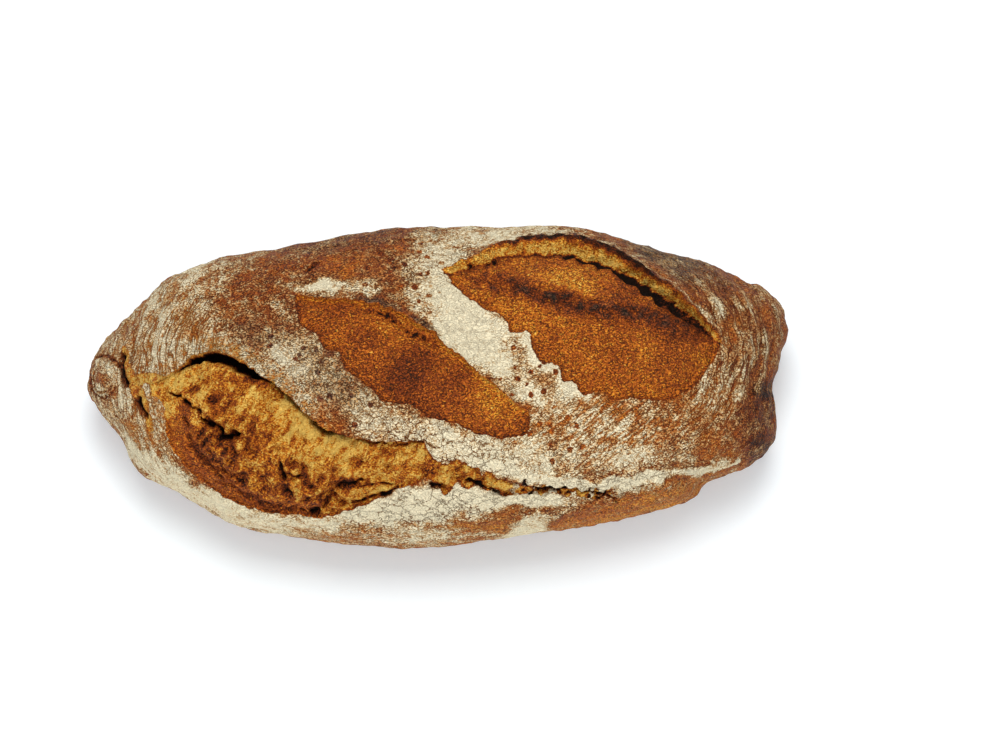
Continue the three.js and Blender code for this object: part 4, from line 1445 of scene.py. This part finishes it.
@dataclass
class CrustGraph(Graph):
    """A crust's node tree: its place in millimetres, its painted values and its grains."""

    place: Socket = field(init=False)
    marks: dict[Mark, Socket] = field(init=False)
    grain: dict[str, Socket] = field(init=False)

    def __post_init__(self) -> None:
        """Add the nodes that the crust's colours and heights are mixed from."""
        coordinates = self.node("ShaderNodeTexCoord").outputs["Object"]
        scaling = {0: coordinates, "Scale": 1.0 / MM}
        self.place = self.node("ShaderNodeVectorMath", scaling, operation="SCALE").outputs[0]
        self.marks = {mark: self.attribute(mark.value) for mark in Mark}
        place, wrinkle = self.place, self.marks[Mark.WRINKLE]
        wave = self.noise(self.attribute("flow", "Vector"), 2.5, 2.0, 0.36)
        worm = self.math("ABSOLUTE", self.noise(self.drawn(place, 0.0, 1.5), 1.05, 1.0))
        self.grain = {
            "fine": self.noise(place, 0.8, 2.0, 0.15), "mid": self.noise(place, 2.2, 3.0),
            "patch": self.noise(place, 5.5, 3.0, 0.2), "big": self.noise(place, 11.0, 2.0),
            "worm": self.ramp(worm, 0.0, 0.34, 0.65, -0.35), "etch": self.ramp(worm, 0.0, 0.3, 1.0, 0.0),
            "wave": self.product(wave, wrinkle), "crease": self.product(self.crease(wave, 0.09), wrinkle),
        }
        self.grain["cracks"] = self.cracks()
        ragged = self.total(self.cells(place, 0.19, Randomness=0.7), (self.grain["mid"], 0.12))
        self.grain["bare"] = self.product(self.ramp(ragged, 0.17, 0.29, 1.0, 0.0), self.marks[Mark.DOTS])

    def cracks(self) -> Socket:
        """Add the cracks of the flour: broken outlines of flakes in two sizes.

        Returns:
            How strongly each place is cracked.
        """
        warp = self.node("ShaderNodeTexNoise", {"Vector": self.place, "Scale": 0.4, "Detail": 4.0})
        shift = {0: warp.outputs["Color"], 1: (5.0, 5.0, 5.0), 2: self.place}
        shifted = self.node("ShaderNodeVectorMath", shift, operation="MULTIPLY_ADD").outputs[0]
        flat = self.drawn(shifted, 0.0, 1.35)
        large, small = (
            self.ramp(self.cells(flat, 1.0 / pitch, "DISTANCE_TO_EDGE"), 0.0, half, 1.0, 0.0)
            for pitch, half in ((5.2, 0.05), (2.6, 0.07))
        )
        both = self.math("MAXIMUM", large, self.product(small, self.ramp(self.grain["patch"], -0.1, 0.25)))
        return self.product(both, self.marks[Mark.CRACKLE], self.ramp(self.grain["mid"], -0.5, -0.2))


@dataclass(frozen=True)
class CrustFinish:
    """Baked crust, torn crumb and flour on one skin."""

    name: str = "baked_crust"
    browning: tuple[tuple[float, Rgb], ...] = (
        (0.0, (242, 194, 94)), (0.15, (232, 160, 50)), (0.30, (208, 118, 31)), (0.45, (174, 86, 23)),
        (0.60, (136, 60, 18)), (0.75, (94, 40, 15)), (0.90, (50, 25, 12)), (1.0, (26, 14, 8)),
    )
    dusting: tuple[tuple[float, Rgb], ...] = (
        (0.0, (190, 118, 54)), (0.4, (214, 172, 114)), (1.0, (246, 231, 194)),
    )
    # The grey of the bloom, which also serves as painted shade on the back rim and behind the leaf.
    ash: Rgb = (132, 112, 86)
    # The colour of the painted shade deep in gaps.
    hollow: Rgb = (22, 12, 6)
    line: Rgb = (40, 24, 10)
    crack: Rgb = (104, 68, 32)
    etched: float = 0.85
    creased: float = 0.5
    cracked: float = 0.75
    tear_angle: float = 62.0
    streak_angle: float = 42.0
    bare_roughness: float = 0.62
    flour_roughness: float = 0.3
    sheen: float = 0.12

    def build(self) -> bpy.types.Material:
        """Build the material, which reads the crust's attributes and Object coordinates.

        Returns:
            The new material.
        """
        material = bpy.data.materials.new(self.name)
        material.use_nodes = True
        material.node_tree.nodes.clear()
        graph = CrustGraph(material.node_tree)
        marks, grain = graph.marks, graph.grain
        crust, crust_height = self.crust(graph)
        mask, flour, flour_height = self.flour(graph)
        colour = graph.mix(mask, crust, flour)
        # Grey bloom, and painted shade where the mark greys the back rim and the skin behind the leaf.
        ash = graph.product(marks[Mark.ASH], graph.ramp(grain["fine"], -0.4, 0.3))
        colour = graph.mix(ash, colour, srgb(*self.ash))
        etch = graph.product(grain["etch"], graph.ramp(grain["mid"], -0.5, 0.2))
        lines = graph.math("MAXIMUM", etch, graph.product(grain["crease"], self.creased))
        thin = graph.ramp(marks[Mark.FLOUR], 0.5, 1.0, 1.0, 0.2)
        plain = graph.total(
            1.0, (marks[Mark.CRUMB], -0.85), (marks[Mark.WRINKLE], -0.2), (marks[Mark.CRACKLE], -0.5),
        )
        colour = graph.mix(graph.product(lines, thin, plain, self.etched), colour, srgb(*self.line))
        colour = graph.mix(graph.product(grain["cracks"], mask, self.cracked), colour, srgb(*self.crack))
        # Painted shade: deep in gaps the colour goes to a near-black brown.
        colour = graph.mix(graph.ramp(marks[Mark.HOLLOW], 0.5, 1.0, 0.0, 0.95), colour, srgb(*self.hollow))
        height = graph.math("ADD", crust_height, flour_height)
        bump = graph.node("ShaderNodeBump", {"Height": height, "Distance": MM, "Strength": 1.0})
        shader = graph.node("ShaderNodeBsdfPrincipled", {
            "Base Color": colour, "Normal": bump.outputs["Normal"], "Specular IOR Level": self.sheen,
            "Roughness": graph.math("MULTIPLY_ADD", mask, self.flour_roughness, self.bare_roughness),
        })
        graph.node("ShaderNodeOutputMaterial", {"Surface": shader.outputs["BSDF"]})
        return material

    def crust(self, graph: CrustGraph) -> tuple[Socket, Socket]:
        """Add the bare crust and crumb.

        Args:
            graph: the node tree, with its grains.

        Returns:
            Their colour and their height.
        """
        marks, grain, crumb = graph.marks, graph.grain, graph.marks[Mark.CRUMB]
        blister = graph.product(
            graph.ramp(graph.cells(graph.place, 0.5, Randomness=1.0), 0.12, 0.3, 1.0, 0.0),
            graph.ramp(marks[Mark.INSIDE], 0.2, 1.2), graph.ramp(grain["mid"], -0.1, 0.3),
        )
        fibre = graph.noise(graph.drawn(graph.place, self.tear_angle, 3.2), 1.5, 4.0, 0.15)
        fibre = graph.product(fibre, crumb)
        # The painted gap shade also darkens the tone, so shallow shade comes out a deeper brown.
        tone = graph.total(
            marks[Mark.BAKE], (grain["fine"], -0.26), (grain["mid"], -0.11), (grain["patch"], -0.09),
            (grain["big"], 0.1), (blister, -0.26), (fibre, -0.31), (grain["crease"], 0.08),
            (grain["bare"], 0.2), (grain["worm"], 0.15), (graph.product(grain["worm"], crumb), 0.14),
            (graph.product(grain["patch"], crumb), -0.16), (grain["cracks"], 0.2),
            (marks[Mark.HOLLOW], 0.6),
        )
        height = graph.total(
            graph.product(grain["fine"], 0.25), (grain["mid"], 0.3), (blister, 0.15), (fibre, 0.8),
            (grain["crease"], -0.8), (grain["worm"], -0.4),
        )
        return graph.colours(tone, self.browning), height

    def flour(self, graph: CrustGraph) -> tuple[Socket, Socket, Socket]:
        """Add the flour.

        Args:
            graph: the node tree, with its grains.

        Returns:
            The flour's mask, its colour and its height.
        """
        marks, grain = graph.marks, graph.grain
        streak = graph.noise(graph.drawn(graph.place, self.streak_angle, 6.0), 1.3, 3.0)
        speckle = graph.total(
            graph.product(grain["fine"], 0.2), (grain["mid"], 0.26), (grain["patch"], 0.28),
        )
        calm = graph.total(
            1.0, (marks[Mark.WRINKLE], -0.5), (marks[Mark.STREAK], -0.65), (marks[Mark.DOTS], -0.5),
            (marks[Mark.CRACKLE], -0.5),
        )
        # The painted gap shade also takes the flour off.
        cover = graph.total(
            marks[Mark.FLOUR], (graph.product(speckle, calm), 1.0), (grain["big"], 0.2),
            (graph.product(streak, marks[Mark.STREAK]), 0.62), (grain["wave"], 0.38),
            (grain["crease"], -0.45), (grain["worm"], -0.26), (grain["cracks"], -0.6),
            (grain["bare"], -1.2), (marks[Mark.HOLLOW], -1.2),
        )
        rim = graph.ramp(marks[Mark.INSIDE], -0.2, 0.15, 1.0, 0.0)
        mask = graph.product(graph.ramp(cover, 0.12, 0.72), rim)
        tone = graph.total(graph.ramp(cover, 0.25, 1.0), (grain["fine"], 0.2))
        height = graph.total(graph.product(mask, 0.35), (grain["cracks"], -0.5))
        return mask, graph.colours(tone, self.dusting), height


# ---- The loaf -----------------------------------------------------------------------------------
@dataclass
class Loaf:
    """The whole loaf as one skin."""

    form: LoafForm = field(default_factory=LoafForm)
    scores: tuple[Score, ...] = field(default_factory=lambda: (EarScore(), LeafScore(), TearScore()))
    forms: SkinForms = field(default_factory=SkinForms)
    flour: FlourCoat = field(default_factory=FlourCoat)
    browning: Browning = field(default_factory=Browning)
    flow: Flow = field(default_factory=Flow)
    name: str = "loaf_crust"
    ball_detail: int = 6
    facing_from: float = -0.15
    fine_ends: tuple[float, float] = (-92.0, 112.0)
    fine_flour: tuple[float, float, float] = (-38.0, 22.0, 100.0)
    fine_round: float = 4.0
    rim_round: float = 0.9
    crack_round: float = 1.5
    deep_crack: float = 3.2
    away_flour: float = 0.36
    away_bake: float = 0.48
    shift: np.ndarray = field(default_factory=lambda: np.zeros(3))

    def build(self) -> bpy.types.Object:
        """Make the loaf's object.

        Returns:
            The finished piece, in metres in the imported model's frame.
        """
        bpy.ops.object.select_all(action="DESELECT")
        bpy.ops.mesh.primitive_ico_sphere_add(subdivisions=self.ball_detail, radius=1.0, location=(0, 0, 0))
        ball = bpy.context.object
        for chosen in (self.facing_faces, self.detailed_faces, self.rim_faces):
            self.subdivide(ball, chosen)
        mesh = ball.data
        skin = self.crust(self.ball_points(mesh))
        mesh.vertices.foreach_set("co", (skin.point * MM).ravel())
        for mark, values in skin.marks.items():
            layer = mesh.attributes.new(mark.value, "FLOAT", "POINT")
            layer.data.foreach_set("value", values.astype(np.float32))
        layer = mesh.attributes.new("flow", "FLOAT_VECTOR", "POINT")
        layer.data.foreach_set("vector", skin.flow.astype(np.float32).ravel())
        mesh.update()
        ball.name = mesh.name = self.name
        mesh.materials.clear()
        mesh.materials.append(CrustFinish().build())
        mesh.polygons.foreach_set("use_smooth", np.ones(len(mesh.polygons), dtype=bool))
        LOG.info("%s: %d triangles", self.name, len(mesh.polygons))
        return ball

    @staticmethod
    def ball_points(mesh: bpy.types.Mesh) -> np.ndarray:
        """Read a mesh's points.

        Args:
            mesh: the ball's mesh.

        Returns:
            Directions of unit length, one row each.
        """
        flat = np.empty(len(mesh.vertices) * 3)
        mesh.vertices.foreach_get("co", flat)
        points = flat.reshape(-1, 3)
        return points / np.linalg.norm(points, axis=1)[:, None]

    def subdivide(self, ball: bpy.types.Object, chosen: Callable[[np.ndarray], np.ndarray]) -> None:
        """Cut the chosen faces of the ball into four.

        Args:
            ball: the ball, in object mode.
            chosen: a method that takes face centres on the unit ball and returns a mask.
        """
        mesh = ball.data
        corners = np.empty(len(mesh.polygons) * 3, dtype=np.int64)
        mesh.polygons.foreach_get("vertices", corners)
        centres = self.ball_points(mesh)[corners.reshape(-1, 3)].mean(1)
        centres /= np.linalg.norm(centres, axis=1)[:, None]
        mask = chosen(centres)
        bpy.ops.object.mode_set(mode="EDIT")
        bpy.ops.mesh.select_mode(type="FACE")
        bpy.ops.mesh.select_all(action="DESELECT")
        bpy.ops.object.mode_set(mode="OBJECT")
        mesh.polygons.foreach_set("select", mask)
        bpy.ops.object.mode_set(mode="EDIT")
        bpy.ops.mesh.subdivide(number_cuts=1)
        bpy.ops.mesh.select_all(action="SELECT")
        bpy.ops.mesh.quads_convert_to_tris()
        bpy.ops.object.mode_set(mode="OBJECT")

    def facing_faces(self, centres: np.ndarray) -> np.ndarray:
        """Choose the faces that look towards the scored side."""
        return self.form.normals(centres) @ self.form.face_out > self.facing_from

    def detailed_faces(self, centres: np.ndarray) -> np.ndarray:
        """Choose the faces in and round the scores, the cracked flour and the ends.

        Args:
            centres: face centres on the unit ball.

        Returns:
            True at the chosen ones.
        """
        face = self.form.face(self.form.bare(centres))
        along, across = face.T
        left, right = self.fine_ends
        middle, half, end = self.fine_flour
        chosen = (along < left) | (along > right) | ((np.abs(across - middle) < half) & (along < end))
        for score in self.scores:
            chosen |= score.at(face).inside > -self.fine_round
        return chosen & self.facing_faces(centres)

    def rim_faces(self, centres: np.ndarray) -> np.ndarray:
        """Choose the faces along the rims and the deep cracks.

        Args:
            centres: face centres on the unit ball.

        Returns:
            True at the chosen ones.
        """
        face = self.form.face(self.form.bare(centres))
        chosen = np.zeros(len(centres), dtype=bool)
        for score in self.scores:
            chosen |= np.abs(score.at(face).inside) < self.rim_round
        for groove in self.forms.grooves:
            if groove.depth > self.deep_crack:
                chosen |= Line(groove.through).near(face).distance < self.crack_round
        return chosen & self.facing_faces(centres)

    def crust(self, ball: np.ndarray) -> Skin:
        """Form and paint the crust.

        Args:
            ball: directions of unit length, one for each point of the mesh.

        Returns:
            The finished skin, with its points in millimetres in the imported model's frame.
        """
        form = self.form
        bare, normal = form.bare(ball), form.normals(ball)
        face = form.face(bare)
        ragged = face + wanders(bare, 4.0, 20.0, 21.0) + 0.5 * wanders(bare, 1.6, 22.0, 23.0)
        skin = Skin.over(bare, ragged, self.flow.at(face, bare))
        self.browning.bake(skin)
        self.flour.dust(skin)
        for part in (*self.scores, self.forms):
            part.form(skin)
        facing = smoothstep(normal @ form.face_out, -0.1, 0.12)
        swells = 1.6 * skin.wander(46.0, 24.0) + 1.0 * skin.wander(17.0, 25.0)
        pebbles = 0.8 * skin.wander(6.0, 26.0) + 0.5 * skin.wander(2.6, 27.0)
        rise = normal + form.face_out * facing[:, None]
        rise /= np.linalg.norm(rise, axis=1)[:, None]
        out = facing * skin.out + swells + pebbles
        away = 1 - facing
        bake = self.away_bake + 0.1 * skin.wander(16.0, 28.0)
        skin.blend(away, inside=OUTSIDE, flour=self.away_flour, bake=bake, hollow=0.0, crumb=0.0, ash=0.0)
        point = bare + rise * out[:, None] - form.face_up * (facing * skin.slide)[:, None]
        skin.point = self.placed(form.seated(point))
        return skin

    def placed(self, point: np.ndarray) -> np.ndarray:
        """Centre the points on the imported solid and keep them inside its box.

        Args:
            point: the loaf's points in millimetres, standing on no height.

        Returns:
            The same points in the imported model's frame, in millimetres.
        """
        low, high = (np.array(corner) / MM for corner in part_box("loaf"))
        middle = (low + high) / 2
        self.shift = middle - (point.min(0) + point.max(0)) / 2
        self.shift[2] = low[2] - point[:, 2].min()
        centred = point + self.shift
        size = np.minimum(1.0, (high - low) / (centred.max(0) - centred.min(0)))
        anchor = np.array([middle[0], middle[1], low[2]])
        return anchor + (centred - anchor) * size


# ---- The studio ---------------------------------------------------------------------------------
@dataclass(frozen=True)
class Lamp:
    """A square soft light: its place, its size in metres and its power in watts."""

    name: str
    place: tuple[float, float, float]
    size: float
    power: float
    aim: tuple[float, float, float] = (0.0, 0.0, 0.04)

    def hang(self) -> None:
        """Hang the light and point it at the loaf."""
        data = bpy.data.lights.new(self.name, "AREA")
        data.size = self.size
        data.energy = self.power
        light = bpy.data.objects.new(self.name, data)
        bpy.context.scene.collection.objects.link(light)
        light.location = self.place
        light.rotation_euler = (Vector(self.aim) - light.location).to_track_quat("-Z", "Y").to_euler()


@dataclass
class Studio:
    """The pale floor, the soft lights and the camera."""

    elevation: float = 78.0
    distance: float = 3.2
    lens: float = 270.0
    aim: tuple[float, float] = (26.9, 5.6)
    floor_size: float = 6.0
    sky: float = 0.5
    sky_tint: tuple[float, float, float] = (0.94, 1.0, 1.08)
    floor_glow: float = 0.16
    floor_colour: tuple[float, float, float, float] = (0.88, 0.92, 0.925, 1.0)
    floor_roughness: float = 0.9
    floor_shine: float = 0.1
    view_end: float = 50.0
    lamps: tuple[Lamp, ...] = (
        Lamp("key", (0.04, 0.52, 1.5), 0.85, 17.5),
        Lamp("fill", (-0.3, -1.5, 0.8), 1.2, 12.5),
    )

    def build(self, loaf: Loaf) -> None:
        """Set up the floor, lights, world and camera.

        Args:
            loaf: the loaf, after it was built and placed.
        """
        self.add_floor()
        for lamp in self.lamps:
            lamp.hang()
        world = bpy.data.worlds.new("studio_world")
        world.use_nodes = True
        background = world.node_tree.nodes["Background"]
        background.inputs["Color"].default_value = (*self.sky_tint, 1.0)
        background.inputs["Strength"].default_value = self.sky
        bpy.context.scene.world = world
        bpy.context.scene.view_settings.view_transform = "Standard"
        self.add_camera(loaf)

    def add_floor(self) -> None:
        """Lay the floor under the loaf."""
        bpy.ops.object.select_all(action="DESELECT")
        bpy.ops.mesh.primitive_plane_add(size=self.floor_size, location=(0, 0, 0))
        floor = bpy.context.object
        floor.name = "floor"
        material = bpy.data.materials.new("pale_floor")
        material.use_nodes = True
        inputs = material.node_tree.nodes["Principled BSDF"].inputs
        for name, value in (
            ("Base Color", self.floor_colour), ("Roughness", self.floor_roughness),
            ("Specular IOR Level", self.floor_shine), ("Emission Color", (1.0, 1.0, 1.0, 1.0)),
            ("Emission Strength", self.floor_glow),
        ):
            inputs[name].default_value = value
        floor.data.materials.append(material)

    def add_camera(self, loaf: Loaf) -> None:
        """Place the camera over the loaf's scored face.

        Args:
            loaf: the loaf, after it was built and placed.
        """
        form = loaf.form
        target = np.array([0.0, 0.0, form.waist]) + form.face_up * self.aim[1] + loaf.shift
        target[0] += self.aim[0]
        up = math.radians(self.elevation)
        away = Vector((0.0, -math.cos(up), math.sin(up)))
        data = bpy.data.cameras.new("camera")
        data.lens = self.lens
        data.clip_end = self.view_end
        camera = bpy.data.objects.new("camera", data)
        bpy.context.scene.collection.objects.link(camera)
        camera.location = Vector(target * MM) + away * self.distance
        camera.rotation_euler = (-away).to_track_quat("-Z", "Y").to_euler()
        bpy.context.scene.camera = camera


def main() -> None:
    """Build the loaf and its studio."""
    logging.basicConfig(level=logging.INFO, format="%(name)s: %(message)s")
    loaf = Loaf()
    crust = loaf.build()
    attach(crust, "root")
    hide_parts("loaf")
    Studio().build(loaf)


if __name__ == "__main__":
    main()
